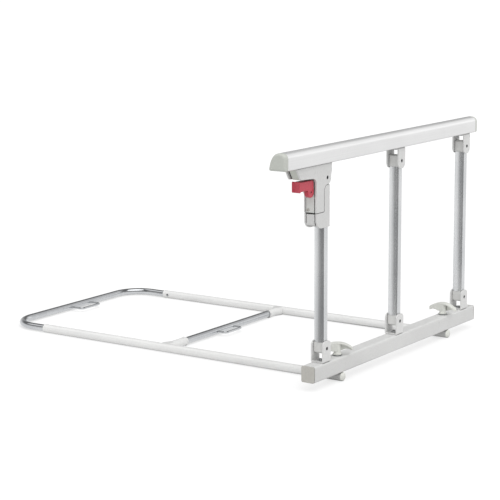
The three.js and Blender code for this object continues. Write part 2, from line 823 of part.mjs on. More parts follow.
// The coil of the bolt spring, its ends one wire radius inside its length
function boltSpring() {
  const rise = springHead - springFoot - springWire;
  const helix = new THREE.Curve();
  helix.getPoint = (share, target = new THREE.Vector3()) => {
    const angle = 2 * Math.PI * springTurns * share;
    return target.set((springMean / 2) * Math.cos(angle) - boltPlace, (springMean / 2) * Math.sin(angle),
      springFoot + springWire / 2 + rise * share);
  };
  const stepsInTurn = 8;
  const sides = 4;
  const section = Array.from({ length: sides }, (unused, index) => {
    const angle = (2 * Math.PI * index) / sides;
    return point((springWire / 2) * Math.cos(angle), (springWire / 2) * Math.sin(angle));
  });
  return new THREE.ExtrudeGeometry(new THREE.Shape(section), {
    steps: springTurns * stepsInTurn,
    extrudePath: helix,
  });
}

// Release lever: a pad hollowed for the thumb, an arm that is open below, a round lobe that turns on
// the lever pin in front of the lug, and a tail that lifts the bolt
function releaseLever() {
  const half = leverWidth / 2;
  const pin = point(-leverPinPlace, -leverPinDrop);
  const padBack = padThickness - padReach;
  const arm = prism(rounded([
    [-padReach, padTop, padCorner],
    [-padReach, -padBottom, padCorner],
    [padBack, -padBottom, padCorner],
    [padBack, -scallopHeight, 0],
    [-leverBack, -scallopHeight, 0],
    [-leverBack, -leverTop, leverCorner],
    [padBack, -leverTop, leverCorner],
  ]), 'y', -half, half, leverRim);
  const lobe = prism([
    ...arc(pin, lobeRadius, lobeRadius, -Math.PI, 0),
    point(-leverBack, -scallopHeight + leverRim),
    point(-leverPinPlace - lobeRadius, -scallopHeight + leverRim),
  ], 'y', -half, lobeBack, leverRim);
  const hollowHalf = half - leverWall;
  const armHollow = prism([
    point(padBack, -scallopHeight - overrun),
    point(-leverPinPlace - lobeRadius, -scallopHeight - overrun),
    point(-leverPinPlace - lobeRadius, -leverTop - leverWall),
    point(padBack, -leverTop - leverWall),
  ], 'y', -hollowHalf, hollowHalf);
  const rib = prism(rectangle(-scallopReach - leverWall / 2, leverWall / 2 - scallopReach,
    -scallopHeight + leverRim, -leverTop - leverRim), 'y', -half + edgeSoftening, half - edgeSoftening);
  const thumbRadius = bulgeRadius(padHollowWidth / 2, padHollow);
  const thumbPlace = padHollow - padReach - thumbRadius;
  const thumb = rod(thumbRadius, 'z', -padBottom - overrun, padTop + overrun, thumbPlace, 0);
  const tailEnd = tailThickness / 2;
  const tailMiddle = pin.y + tailRise - tailEnd;
  const tail = join(
    prism(rectangle(pin.x, pin.x + tailReach - tailEnd, tailMiddle - tailEnd, tailMiddle + tailEnd),
      'y', -tailWidth / 2, tailWidth / 2),
    rod(tailEnd, 'y', -tailWidth / 2, tailWidth / 2, pin.x + tailReach - tailEnd, tailMiddle));
  return cut(join(cut(arm, armHollow), rib, lobe, tail), thumb,
    rod(leverPinDiameter / 2 + fitGap, 'y', -half - overrun, half, pin.x, pin.y));
}

function leverPin() {
  return rod(leverPinDiameter / 2, 'y', edgeSoftening - leverWidth / 2, lobeBack + fitGap + lugWidth,
    -leverPinPlace, -leverPinDrop);
}

// Wing knob, with the top of the bar at z = 0: two wings on a hub, each a crowned roof over a wall with a
// scalloped lower edge, the walls on opposite sides
function wingKnob() {
  const hubFoot = washerThickness + fitGap;
  const tip = knobSpan / 2;
  const wingRadius = bulgeRadius(tip, knobDroop);
  const centre = point(0, knobTop - wingRadius);
  const sweep = Math.asin(tip / wingRadius);
  const tipFloor = knobTop - knobDroop - knobTipDepth;
  const hubRadius = knobHubDiameter / 2;
  const scallopMiddle = (tip + hubRadius) / 2;
  const scallopHalf = scallopMiddle - hubRadius - knobShell;
  const scallopRadius = bulgeRadius(scallopHalf, knobScallop);
  const scallopSweep = Math.asin(scallopHalf / scallopRadius);
  const scallopCentre = tipFloor + knobScallop - scallopRadius;
  const scallop = (side) => arc(point(side * scallopMiddle, scallopCentre), scallopRadius, scallopRadius,
    Math.PI / 2 + scallopSweep, Math.PI / 2 - scallopSweep);
  const outline = [
    ...arc(centre, wingRadius, wingRadius, Math.PI / 2 - sweep, Math.PI / 2 + sweep),
    point(-tip, tipFloor),
    ...scallop(-1),
    ...scallop(1),
    point(tip, tipFloor),
  ];
  const halfWidth = knobWingWidth / 2;
  const plan = rectangle(-halfWidth, halfWidth, -tip, tip, knobTipRadius);
  const wings = prism(outline, 'x', -halfWidth, halfWidth, leverRim)
    .intersect(prism(plan, 'z', 0, knobTop + overrun));
  const innerRadius = wingRadius - knobShell;
  const pocketReach = tip + overrun;
  const pocketSweep = Math.asin(pocketReach / innerRadius);
  const wall = halfWidth - knobShell;
  const pocket = (side) => prism([
    point(0, 0),
    point(side * pocketReach, 0),
    ...arc(centre, innerRadius, innerRadius, Math.PI / 2 - side * pocketSweep, Math.PI / 2),
  ], 'x', side < 0 ? -halfWidth - overrun : -wall, side < 0 ? wall : halfWidth + overrun);
  const hub = turned([
    [0, hubFoot],
    [knobSkirtDiameter / 2, hubFoot],
    [knobSkirtDiameter / 2, hubFoot + knobSkirtHeight],
    [hubRadius, hubFoot + knobSkirtHeight + edgeSoftening],
    [hubRadius, knobTop - knobShell],
    [0, knobTop - knobShell / 2],
  ]);
  return cut(join(cut(wings, pocket(-1), pocket(1)), hub),
    rod(clampDiameter / 2 + fitGap, 'z', 0, clampReach + fitGap));
}

function washer() {
  return cut(rod(washerDiameter / 2, 'z', 0, washerThickness),
    rod(clampDiameter / 2 + fitGap, 'z', -overrun, washerThickness + overrun));
}

// Clamp bolt, with its square head inside the side tube
function clampBolt() {
  const bore = sideTubeRadius - sideTubeWall - fitGap;
  const headTop = Math.sqrt(bore ** 2 - (clampHead / 2) ** 2) + sideTubeRadius;
  const half = clampHead / 2;
  return join(prism(rectangle(-half, half, -half, half), 'z', headTop - clampHeadHeight, headTop),
    rod(clampDiameter / 2, 'z', headTop - capRim, barTop + clampReach));
}

// Under-bed tubes. Their axes lie one side tube radius above the floor.

// Side tube with its stub for the cross tube, which points along +X
function sideTube(stubReach, stubSide) {
  const start = plugDome - plugOverhang;
  const bore = sideTubeRadius - sideTubeWall;
  const tube = rod(sideTubeRadius, 'y', start, sideTubeEnd);
  const flare = turned([
    [0, 0],
    [stubFlareRadius, 0],
    [stubFlareRadius, sideTubeRadius],
    [sideTubeRadius, sideTubeRadius + stubFlareLength],
    [sideTubeRadius, stubReach - stubLipLength],
    [sideTubeRadius + stubLip, stubReach - stubLipLength],
    [sideTubeRadius + stubLip, stubReach],
    [0, stubReach],
  ]);
  const slab = prism(rectangle(-stubFlareRadius, stubFlareRadius, -sideTubeRadius, sideTubeRadius),
    'x', 0, stubReach);
  const stub = flare.rotate([0, 90, 0]).intersect(slab);
  const stubBore = rod(bore, 'x', sideTubeRadius + sideTubeWall, stubReach + overrun);
  const placed = cut(stub, stubBore).rotate([0, 0, stubSide > 0 ? 0 : 180]).translate([0, crossPlace, 0]);
  const buttonSide = stubSide > 0 ? [0, sideTubeRadius + overrun] : [-sideTubeRadius - overrun, 0];
  return cut(join(tube, placed),
    rod(bore, 'y', start - overrun, sideTubeEnd + overrun),
    rod(buttonDiameter / 2 + fitGap, 'x', ...buttonSide, sideTubeEnd - buttonSetback, 0),
    rod(clampDiameter / 2 + fitGap, 'z', 0, sideTubeRadius + overrun, 0, midDepth));
}

// Domed plug, pointing along +Z with its dome below z = 0
function tubePlug() {
  const bore = sideTubeRadius - sideTubeWall - fitGap;
  const dome = arc(point(0, 0), sideTubeRadius, plugDome, -Math.PI / 2, 0).map(({ x, y }) => [x, y]);
  return turned([
    [0, -plugDome],
    ...dome.slice(1),
    [bore, 0],
    [bore, plugSpigot],
    [bore - capWall, plugSpigot],
    [bore - capWall, 0],
    [0, 0],
  ]);
}

function uTube() {
  const start = sideTubeEnd - uLegEngagement;
  const tube = bentTube(uStations(tubePlaces.near, tubePlaces.far, start, uReach, uBendRadius),
    innerTubeRadius, innerTubeWall);
  const holes = [
    rod(buttonDiameter / 2 + fitGap, 'x', tubePlaces.near, tubePlaces.near + sideTubeRadius,
      sideTubeEnd - buttonSetback, 0),
    rod(buttonDiameter / 2 + fitGap, 'x', tubePlaces.far - sideTubeRadius, tubePlaces.far,
      sideTubeEnd - buttonSetback, 0),
  ];
  return cut(solidOf(tube), ...holes);
}

function crossTube() {
  const start = tubePlaces.near + nearStubReach - stubEngagement;
  const end = tubePlaces.far - farStubReach + stubEngagement;
  return prism(circle(crossPlace, 0, innerTubeRadius), 'x', start, end, 0,
    circle(crossPlace, 0, innerTubeRadius - innerTubeWall));
}

// A wire loop on the front of a tube that runs along X at the given depth
function strapLoop(middle, width, tubeDepth, reach) {
  const half = (width - loopWire) / 2;
  const wire = bentTube(
    uStations(middle - half, middle + half, tubeDepth, tubeDepth - reach + loopWire / 2, loopBend),
    loopWire / 2);
  return cut(solidOf(wire), rod(innerTubeRadius + fitGap, 'x', middle - width, middle + width, tubeDepth, 0));
}

// Snap button that points along +X from the tube's axis
function snapButton() {
  const bore = innerTubeRadius - innerTubeWall - fitGap;
  const seat = Math.sqrt(bore ** 2 - (buttonFlange / 2) ** 2);
  const radius = buttonDiameter / 2;
  const tip = sideTubeRadius + buttonStandOut;
  return turned([
    [0, seat - buttonFlangeThickness],
    [buttonFlange / 2, seat - buttonFlangeThickness],
    [buttonFlange / 2, seat],
    [radius, seat],
    [radius, tip - radius / 2],
    [radius * Math.cos(Math.PI / 6), tip - radius / 4],
    [0, tip],
  ]).rotate([0, 90, 0]);
}

// Leaf clip behind a button that points along +X: a V of spring strip
function snapClip() {
  const bore = innerTubeRadius - innerTubeWall - fitGap;
  const wall = -Math.sqrt(bore ** 2 - (clipWidth / 2) ** 2);
  const start = -clipLength / 2;
  const end = start + clipLength;
  const seat = Math.sqrt(bore ** 2 - (buttonFlange / 2) ** 2);
  const freeTip = seat - buttonFlangeThickness - buttonTravel - fitGap;
  return prism([
    point(wall, end),
    point(wall, start + clipBend),
    ...arc(point(wall + clipBend, start + clipBend), clipBend, clipBend, Math.PI, 1.75 * Math.PI),
    point(freeTip, end - clipLength / 4),
    point(freeTip - clipStrip, end - clipLength / 4),
    ...arc(point(wall + clipBend, start + clipBend), clipBend - clipStrip, clipBend - clipStrip,
      1.75 * Math.PI, Math.PI),
    point(wall + clipStrip, end),
  ], 'z', -clipWidth / 2, clipWidth / 2);
}

// Assembly

function placed(mesh, x, y, z) {
  mesh.position.set(x, y, z);
  return mesh;
}

function barGroup() {
  const group = new THREE.Group();
  group.add(piece('bottom_bar', bottomBar(), 'powderGrey'));
  group.add(piece('bar_cap_near', barCap(), 'capGrey'));
  group.add(piece('bar_cap_far', barCap().mirror([1, 0, 0]).translate([barLength, 0, 0]), 'capGrey'));
  postPlaces.forEach((place, index) => {
    const number = index + 1;
    group.add(placed(piece(`bottom_bracket_${number}`, bracket(footEarCornerRise), 'powderGrey'),
      place, midDepth, lowPinHeight));
    group.add(placed(piece(`bottom_pin_${number}`, pivotPin(), 'darkSteel'), place, midDepth, lowPinHeight));
    const fastener = screw().mirror([0, 0, 1]).translate([place, midDepth, barTop + bracketSheet]);
    group.add(piece(`bracket_screw_${number}`, fastener, 'steel'));
  });
  return group;
}

function tubeGroup() {
  const group = new THREE.Group();
  group.position.z = sideTubeRadius;
  const stubs = { near: [nearStubReach, 1], far: [farStubReach, -1] };
  for (const [side, place] of Object.entries(tubePlaces)) {
    const facing = stubs[side][1];
    const button = snapButton().rotate([0, 0, facing > 0 ? 0 : 180]);
    const clip = snapClip().rotate([0, 0, facing > 0 ? 0 : 180]);
    const buttonDepth = sideTubeEnd - buttonSetback;
    const plug = tubePlug().rotate([-90, 0, 0]).translate([0, plugDome - plugOverhang, 0]);
    group.add(placed(piece(`side_tube_${side}`, sideTube(...stubs[side]), 'tubeWhite'), place, 0, 0));
    group.add(placed(piece(`tube_plug_${side}`, plug, 'knobWhite'), place, 0, 0));
    group.add(placed(piece(`snap_button_${side}`, button, 'darkSteel'), place, buttonDepth, 0));
    group.add(placed(piece(`snap_clip_${side}`, clip, 'steel'), place, buttonDepth, 0));
    group.add(placed(piece(`clamp_bolt_${side}`, clampBolt(), 'steel'), place, midDepth, -sideTubeRadius));
    const seat = [place, midDepth, barTop - sideTubeRadius];
    group.add(placed(piece(`knob_washer_${side}`, washer(), 'steel'), ...seat));
    const knob = placed(piece(`wing_knob_${side}`, wingKnob(), 'knobWhite'), ...seat);
    knob.rotation.z = knobTurns[side];
    group.add(knob);
  }
  group.add(piece('u_tube', uTube(), 'chrome'));
  group.add(piece('cross_tube', crossTube(), 'chrome'));
  group.add(piece('strap_loop_rear',
    strapLoop(tubeMiddle + uLoopShift, uLoopWidth, uReach, uLoopReach), 'chrome'));
  group.add(piece('strap_loop_middle',
    strapLoop(tubeMiddle + crossLoopShift, crossLoopWidth, crossPlace, crossLoopReach), 'chrome'));
  return group;
}

function postGroup(index) {
  const group = new THREE.Group();
  group.position.set(postPlaces[index], midDepth, lowPinHeight);
  const number = index + 1;
  const foot = endFitting(footRadius);
  group.add(piece(`post_foot_${number}`, foot, 'capGrey'));
  if (index > 0) {
    const head = endFitting(postEndInset).mirror([0, 0, 1]).translate([0, 0, linkLength]);
    group.add(piece(`post_head_${number}`, head, 'capGrey'));
    group.add(piece(`post_${number}`, post(linkLength - 2 * postEndInset), 'postAluminium'));
    return group;
  }
  const reach = linkLength - riserTop - riserRoof - fitGap - postEndInset;
  const screwHeight = linkLength + sleeveScrewRise - sleeveBottom;
  const tube = cut(post(reach), rod(screwDiameter / 2 + fitGap, 'x', 0, postDepth, 0, screwHeight));
  group.add(piece(`post_${number}`, tube, 'postAluminium'));
  group.add(placed(piece('latch_sleeve', latchSleeve(), 'powderGrey'), 0, 0, linkLength));
  const fastener = screw().rotate([0, -90, 0]).translate([sleeveBack + sleeveCrown + fitGap, 0, screwHeight]);
  group.add(piece('sleeve_screw', fastener, 'steel'));
  return group;
}

function handrailGroup() {
  const group = new THREE.Group();
  group.position.set(firstPost, midDepth, highPinHeight);
  group.add(piece('handrail', handrail(), 'railAluminium'));
  const farCap = railCap().mirror([1, 0, 0]).translate([railStart + railEnd, 0, 0]);
  group.add(piece('handrail_cap_near', railCap(), 'capGreen'));
  group.add(piece('handrail_cap_far', farCap, 'capGreen'));
  postPlaces.slice(1).forEach((place, index) => {
    const number = index + 2;
    const top = bracket(headEarCornerRise).mirror([0, 0, 1]);
    const along = place - firstPost;
    group.add(placed(piece(`top_bracket_${number}`, top, 'powderGrey'), along, 0, 0));
    group.add(placed(piece(`top_pin_${number}`, pivotPin(), 'darkSteel'), along, 0, 0));
    group.add(placed(piece(`top_bracket_screw_${number}`, screw(), 'steel'),
      along, 0, pinToBase - bracketSheet));
  });
  housingScrewPlaces().forEach((place, index) => {
    group.add(placed(piece(`housing_screw_${index + 1}`, screw(), 'steel'), place, 0, pinToBase - coreRoof));
  });
  const half = bracketDepth / 2;
  group.add(placed(piece('latch_plate_front', latchPlate(), 'powderGrey'), 0, -half, 0));
  group.add(placed(piece('latch_plate_back', latchPlate(), 'powderGrey'), 0, half - plateThickness, 0));
  group.add(piece('latch_core', latchCore(), 'coreGreen'));
  group.add(piece('leg_screw', legScrew(), 'steel'));
  group.add(piece('latch_pivot_pin', pivotPin(), 'darkSteel'));
  group.add(piece('latch_bolt', latchBolt(), 'steel'));
  group.add(piece('bolt_spring', boltSpring(), 'steel'));
  group.add(piece('release_lever', releaseLever(), 'leverRed'));
  group.add(piece('lever_pin', leverPin(), 'steel'));
  return group;
}

// The whole rail, with the middle of its underside at the origin
function bedRail() {
  const rail = new THREE.Group();
  rail.add(barGroup(), tubeGroup(), handrailGroup());
  postPlaces.forEach((unused, index) => rail.add(postGroup(index)));
  rail.updateMatrixWorld(true);
  const box = new THREE.Box3().setFromObject(rail, true);
  const middle = box.getCenter(new THREE.Vector3());
  rail.position.set(-middle.x, -middle.y, -box.min.z);
  rail.updateMatrixWorld(true);
  return rail;
}

export default bedRail();
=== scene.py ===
import json
import math

import bmesh
import bpy
from mathutils import Matrix, Vector
from mathutils.geometry import interpolate_bezier

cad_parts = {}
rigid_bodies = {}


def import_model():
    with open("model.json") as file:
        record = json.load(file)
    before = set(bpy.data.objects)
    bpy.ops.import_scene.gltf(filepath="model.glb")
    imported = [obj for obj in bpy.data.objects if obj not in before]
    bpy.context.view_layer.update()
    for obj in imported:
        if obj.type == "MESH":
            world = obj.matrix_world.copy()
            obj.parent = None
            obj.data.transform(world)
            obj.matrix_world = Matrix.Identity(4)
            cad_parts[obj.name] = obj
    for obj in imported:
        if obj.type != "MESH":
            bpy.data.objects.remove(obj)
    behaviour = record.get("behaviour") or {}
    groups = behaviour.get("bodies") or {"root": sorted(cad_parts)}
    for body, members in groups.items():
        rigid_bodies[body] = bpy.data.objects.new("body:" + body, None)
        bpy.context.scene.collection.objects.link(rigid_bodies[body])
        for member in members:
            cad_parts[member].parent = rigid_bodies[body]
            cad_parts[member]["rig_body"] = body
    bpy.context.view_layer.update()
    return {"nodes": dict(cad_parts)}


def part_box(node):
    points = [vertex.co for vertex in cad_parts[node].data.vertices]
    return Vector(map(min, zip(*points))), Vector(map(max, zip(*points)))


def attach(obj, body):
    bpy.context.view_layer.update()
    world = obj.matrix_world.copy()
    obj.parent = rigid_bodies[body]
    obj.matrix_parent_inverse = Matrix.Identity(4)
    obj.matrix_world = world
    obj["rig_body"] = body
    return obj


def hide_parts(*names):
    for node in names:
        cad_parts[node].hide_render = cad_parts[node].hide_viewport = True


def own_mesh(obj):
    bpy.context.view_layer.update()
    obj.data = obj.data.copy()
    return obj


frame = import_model()
nodes = frame["nodes"]
print("frame loaded,", len(nodes), "nodes")

# Sizes are in millimetres on the bench: x from the near end of the bottom bar, y from its front face, z up.
benchToRow = Matrix.Translation((-0.2945, -0.45225, 0)) @ Matrix.Scale(0.001, 4)

# The camera

view = {
    "place": (-3.12595, -2.23628, 0.91189),
    "azimuth": -55.607712,
    "elevation": 10.474370,
    "roll": -0.283259,
    "lens": 123.749,
    "sensor": 36,
    "clipEnd": 200,
}


def makeCamera():
    azimuth, elevation, roll = (math.radians(view[key]) for key in ("azimuth", "elevation", "roll"))
    back = Vector((math.sin(azimuth) * math.cos(elevation), -math.cos(azimuth) * math.cos(elevation),
                   math.sin(elevation)))
    right = Vector((math.cos(azimuth), math.sin(azimuth), 0))
    up = back.cross(right)
    sideways = math.cos(roll) * right + math.sin(roll) * up
    upwards = math.cos(roll) * up - math.sin(roll) * right
    camera = bpy.data.objects.new("camera", bpy.data.cameras.new("camera"))
    camera.matrix_world = Matrix((sideways, upwards, back)).transposed().to_4x4()
    camera.location = view["place"]
    camera.data.lens = view["lens"]
    camera.data.sensor_width = view["sensor"]
    camera.data.clip_end = view["clipEnd"]
    bpy.context.scene.collection.objects.link(camera)
    bpy.context.scene.camera = camera


makeCamera()
print("camera set")

# Mesh helpers

past = 2  # how far a cutter runs past what it cuts
lap = 1  # how far a joined part runs into its neighbour
gap = 0.3  # between a plug or end and what it fits
meshing = {"weld": 0.0005, "level": 0.001, "near": 0.01, "long": 1,
           "step": 12, "fineStep": 7, "fineFrom": 6, "bendStep": 5,  # degrees, the fine ones above a radius of 6
           "softenAbove": 50, "smoothBelow": 32}


def spot(axis, u, v, along):
    return Vector({"x": (along, u, v), "y": (u, along, v), "z": (u, v, along)}[axis])


def only(kind, geometry):
    return [item for item in geometry if isinstance(item, kind)]


def settled(bm):
    bmesh.ops.remove_doubles(bm, verts=bm.verts[:], dist=meshing["weld"])
    bmesh.ops.recalc_face_normals(bm, faces=bm.faces[:])
    return bm


def rounded(bm, edges, offset, steps):
    bmesh.ops.bevel(bm, geom=edges, offset=offset, affect="EDGES", segments=steps, profile=0.5, material=-1)
    return bm


def outlined(corners, axis, along):  # a corner is (u, v) or (u, v, radius)
    bm = bmesh.new()
    points = [Vector(corner[:2]) for corner in corners]
    verts = [bm.verts.new(spot(axis, point.x, point.y, along)) for point in points]
    bm.faces.new(verts)
    for index, corner in enumerate(corners):
        if len(corner) < 3:
            continue
        radius = corner[2]
        before, after = points[index - 1] - points[index], points[(index + 1) % len(points)] - points[index]
        half = before.angle(after) / 2
        step = meshing["fineStep"] if radius > meshing["fineFrom"] else meshing["step"]
        steps = max(3, round((math.pi - 2 * half) / math.radians(step)))
        bmesh.ops.bevel(bm, geom=[verts[index]], offset=radius / math.tan(half), affect="VERTICES",
                        segments=steps, profile=0.5, material=-1)
    return bm


def thickened(bm, axis, depth):
    made = bmesh.ops.extrude_face_region(bm, geom=bm.faces[:])
    bmesh.ops.translate(bm, verts=only(bmesh.types.BMVert, made["geom"]), vec=spot(axis, 0, 0, depth))
    return settled(bm)


def softenEnds(bm, axis, places, rim, steps=3):
    number = "xyz".index(axis)
    edges = [edge for edge in bm.edges
             if any(all(abs(vert.co[number] - place) < meshing["level"] for vert in edge.verts)
                    for place in places)]
    return rounded(bm, edges, rim, steps)


def slab(corners, axis, start, end, rim=0, rimAt=None):
    bm = thickened(outlined(corners, axis, start), axis, end - start)
    return softenEnds(bm, axis, rimAt or (start, end), rim) if rim else bm


def block(left, right, low, high, *radii):  # one radius for all corners, or four from the lower left round
    corners = [(left, low), (right, low), (right, high), (left, high)]
    radii = radii if len(radii) == 4 else (radii or (0,)) * 4
    return [(*corner, radius) if radius else corner for corner, radius in zip(corners, radii)]


def rod(radius, axis, start, end, u=0, v=0, rim=0, steps=48):
    bm = bmesh.new()
    bmesh.ops.create_circle(bm, cap_ends=True, radius=radius, segments=steps)
    turn = {"x": Matrix.Rotation(math.pi / 2, 3, "Y"), "y": Matrix.Rotation(math.pi / 2, 3, "X"),
            "z": Matrix.Identity(3)}
    bmesh.ops.rotate(bm, verts=bm.verts[:], cent=(0, 0, 0), matrix=turn[axis])
    moved(bm, *spot(axis, u, v, start))
    thickened(bm, axis, end - start)
    return softenEnds(bm, axis, (start, end), rim) if rim else bm


def lathed(profile, steps=48):  # (radius, height) pairs round Z
    bm = bmesh.new()
    verts = [bm.verts.new((radius, 0, height)) for radius, height in profile]
    edges = [bm.edges.new(pair) for pair in zip(verts, verts[1:])]
    bmesh.ops.spin(bm, geom=verts + edges, cent=(0, 0, 0), axis=(0, 0, 1), angle=2 * math.pi, steps=steps,
                   use_merge=True)
    return settled(bm)


def moved(bm, x=0, y=0, z=0):
    bmesh.ops.translate(bm, verts=bm.verts[:], vec=(x, y, z))
    return bm


def turned(bm, degrees, axis):
    turn = Matrix.Rotation(math.radians(degrees), 3, axis)
    bmesh.ops.rotate(bm, verts=bm.verts[:], cent=(0, 0, 0), matrix=turn)
    return bm


def flipped(bm, axis, about=0):
    bmesh.ops.scale(bm, verts=bm.verts[:], vec=[-1 if name == axis else 1 for name in "xyz"])
    return settled(moved(bm, *(2 * about if name == axis else 0 for name in "xyz")))


def objectOf(bm, name):
    mesh = bpy.data.meshes.new(name)
    bm.to_mesh(mesh)
    bm.free()
    made = bpy.data.objects.new(name, mesh)
    bpy.context.scene.collection.objects.link(made)
    return made


def combined(operation, bm, *others):  # DIFFERENCE, UNION or INTERSECT
    body = objectOf(bm, "blank")
    tools = [objectOf(other, "tool") for other in others]
    for tool in tools:
        modifier = body.modifiers.new("tool", "BOOLEAN")
        modifier.operation = operation
        modifier.solver = "EXACT"
        modifier.object = tool
    made = bpy.data.meshes.new_from_object(body.evaluated_get(bpy.context.evaluated_depsgraph_get()))
    result = bmesh.new()
    result.from_mesh(made)
    spent = [item.data for item in (body, *tools)]
    for item in (body, *tools):
        bpy.data.objects.remove(item)
    for mesh in (*spent, made):
        bpy.data.meshes.remove(mesh)
    return result


def cut(bm, *tools):
    return combined("DIFFERENCE", bm, *tools)


def bored(bm, section, wall, axis, start, length):  # open from end to end, with its section's wall left
    return cut(bm, thickened(section(wall, start - past), axis, length + 2 * past))


def hollowPlug(section, inset, wall, axis, root, start, end):  # solid from its root, hollow from the start
    return cut(thickened(section(inset, root), axis, end - root),
               thickened(section(inset + wall, start), axis, end - start + past))


def pipe(start, heading, runs, radius, steps=32):  # a run is ("on", length) or ("bend", radius, degrees left)
    bm = bmesh.new()
    ring = bmesh.ops.create_circle(bm, radius=radius, segments=steps)["verts"]
    facing = Vector((0, 0, 1)).rotation_difference(Vector(heading)).to_matrix()
    bmesh.ops.rotate(bm, verts=ring, cent=(0, 0, 0), matrix=facing)
    bmesh.ops.translate(bm, verts=ring, vec=start)
    edges = bm.edges[:]
    ends = bm.edges[:]
    middle = Vector(start)
    way = Vector(heading)
    for kind, size, *turn in runs:
        if kind == "on":
            made = bmesh.ops.extrude_edge_only(bm, edges=edges)["geom"]
            far = only(bmesh.types.BMVert, made)
            bmesh.ops.translate(bm, verts=far, vec=way * size)
            edges = [edge for edge in only(bmesh.types.BMEdge, made) if set(edge.verts) <= set(far)]
            middle += way * size
        else:
            hub = middle + math.copysign(size, turn[0]) * Vector((-way.y, way.x, 0))
            angle = math.radians(turn[0])
            made = bmesh.ops.spin(bm, geom=edges, cent=hub, axis=(0, 0, 1), angle=angle,
                                  steps=round(abs(turn[0]) / meshing["bendStep"]))
            edges = only(bmesh.types.BMEdge, made["geom_last"])
            twist = Matrix.Rotation(angle, 3, "Z")
            middle = hub + twist @ (middle - hub)
            way = twist @ way
    bmesh.ops.holes_fill(bm, edges=ends + edges, sides=0)
    return settled(bm)


def hollowPipe(start, heading, runs, radius, wall):  # the first and the last run are straight
    longer = [list(run) for run in runs]
    for run in (longer[0], longer[-1]):
        run[1] += past
    hollow = pipe(Vector(start) - past * Vector(heading), heading, longer, radius - wall)
    return cut(pipe(start, heading, runs, radius), hollow)


def placePiece(name, bm, place, finish, node=None):  # stands for one CAD node and rides on its body
    if not node:  # postFoot1 stands for post_foot_1
        node = "".join(letter if letter.islower() else "_" + letter.lower() for letter in name)
    settled(moved(bm, *place))
    bmesh.ops.transform(bm, matrix=benchToRow, verts=bm.verts[:])
    for face in bm.faces:
        face.smooth = True
    limit = math.radians(meshing["smoothBelow"])
    for edge in bm.edges:
        edge.smooth = len(edge.link_faces) == 2 and edge.calc_face_angle() < limit
    piece = objectOf(bm, name)
    piece.data.materials.append(finishes[finish])
    even = piece.modifiers.new("even shading", "WEIGHTED_NORMAL")
    even.keep_sharp = True
    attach(piece, nodes[node]["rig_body"])
    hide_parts(node)
    low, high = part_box(node)
    places = [[vert.co[i] for vert in piece.data.vertices] for i in range(3)]
    off = max(max(abs(min(places[i]) - low[i]), abs(max(places[i]) - high[i])) for i in range(3))
    print("piece", name, "faces", len(piece.data.polygons), "off its node by", round(off * 1000, 2), "mm")
    return piece


# Shader maths and nodes


def tone(red, green, blue):  # screen values 0 to 255 into linear colour, by the sRGB curve
    return tuple(((value / 255 + 0.055) / 1.055) ** 2.4 for value in (red, green, blue)) + (1,)


def scaled(colour, share):
    return tuple(min(1.0, share * part) for part in colour[:3]) + (1,)


class Wire:  # one output of a node, so that shader maths reads as a sum
    def __init__(self, board, socket):
        self.board = board
        self.socket = socket

    def maths(self, operation, *values):
        return self.board.add("ShaderNodeMath", {"operation": operation}, values)

    def __add__(self, other):
        return self.maths("ADD", self, other)

    def __radd__(self, other):
        return self.maths("ADD", other, self)

    def __sub__(self, other):
        return self.maths("SUBTRACT", self, other)

    def __rsub__(self, other):
        return self.maths("SUBTRACT", other, self)

    def __mul__(self, other):
        return self.maths("MULTIPLY", self, other)

    def __rmul__(self, other):
        return self.maths("MULTIPLY", other, self)


class Board:  # a node tree and the one way that nodes are added to it
    rays = {"camera": 0, "diffuse": 2, "glossy": 3, "transmission": 6}

    def __init__(self, tree):
        self.tree = tree
        tree.nodes.clear()

    def add(self, kind, settings=None, values=(), output=0):
        node = self.tree.nodes.new(kind)
        for setting, value in (settings or {}).items():
            setattr(node, setting, value)
        for socket, value in (values.items() if isinstance(values, dict) else enumerate(values)):
            if isinstance(value, Wire):
                self.tree.links.new(value.socket, node.inputs[socket])
            else:
                node.inputs[socket].default_value = value
        return Wire(self, node.outputs[output]) if node.outputs else node

    def mix(self, share, first, second):
        return self.add("ShaderNodeMix", {"data_type": "RGBA"}, {0: share, 6: first, 7: second}, 2)

    def ranged(self, value, start, end):  # 0 at the start, 1 at the end, smooth between them
        return self.add("ShaderNodeMapRange", {"interpolation_type": "SMOOTHSTEP"}, {0: value, 1: start, 2: end})

    def vectors(self, operation, *values, output=0):
        return self.add("ShaderNodeVectorMath", {"operation": operation}, values, output)

    def dot(self, first, second):
        return self.vectors("DOT_PRODUCT", first, second, output=1)

    def ray(self, kind):
        return self.add("ShaderNodeLightPath", output=self.rays[kind])

    def place(self, scale=(1, 1, 1)):  # object coordinates
        return self.add("ShaderNodeMapping", values={0: self.add("ShaderNodeTexCoord", output=3), 3: scale})

    def noise(self, scale, detail, roughness=0.5, stretch=(1, 1, 1)):
        return self.add("ShaderNodeTexNoise", values={0: self.place(stretch), 2: scale, 3: detail, 4: roughness})


# What the finishes share. A range runs from none of an effect to all of it, and patches are a noise scale.

mottled = {"range": (0.34, 0.68), "broad": 0.55, "streak": 0.45, "streakScale": 1 / 6, "streakSmudge": 0.5}
waves = {"grain": 0.35, "waves": 1.3}
scratch = {"range": (1.22, 1.34), "scales": (420.0, 380.0), "stretches": ((1, 0.06, 0.22), (0.05, 1, 0.3)),
           "patches": 14.0, "patchRange": (0.5, 0.62), "share": 0.35, "tone": 0.62, "rougher": 0.2}
rub = {"range": (0.995, 0.86), "radius": 0.0011, "patches": 46.0, "patchRange": (0.4, 0.64), "tone": 1.22,
       "smoother": 0.14}
# painted shade in creases, joints and contact lines: how far sheltered surfaces darken, in dust-like patches
creviceShade = {"range": (0.7, 0.22), "patches": 60.0, "least": 0.75, "varies": 0.5, "tone": 0.16, "rougher": 0.2}


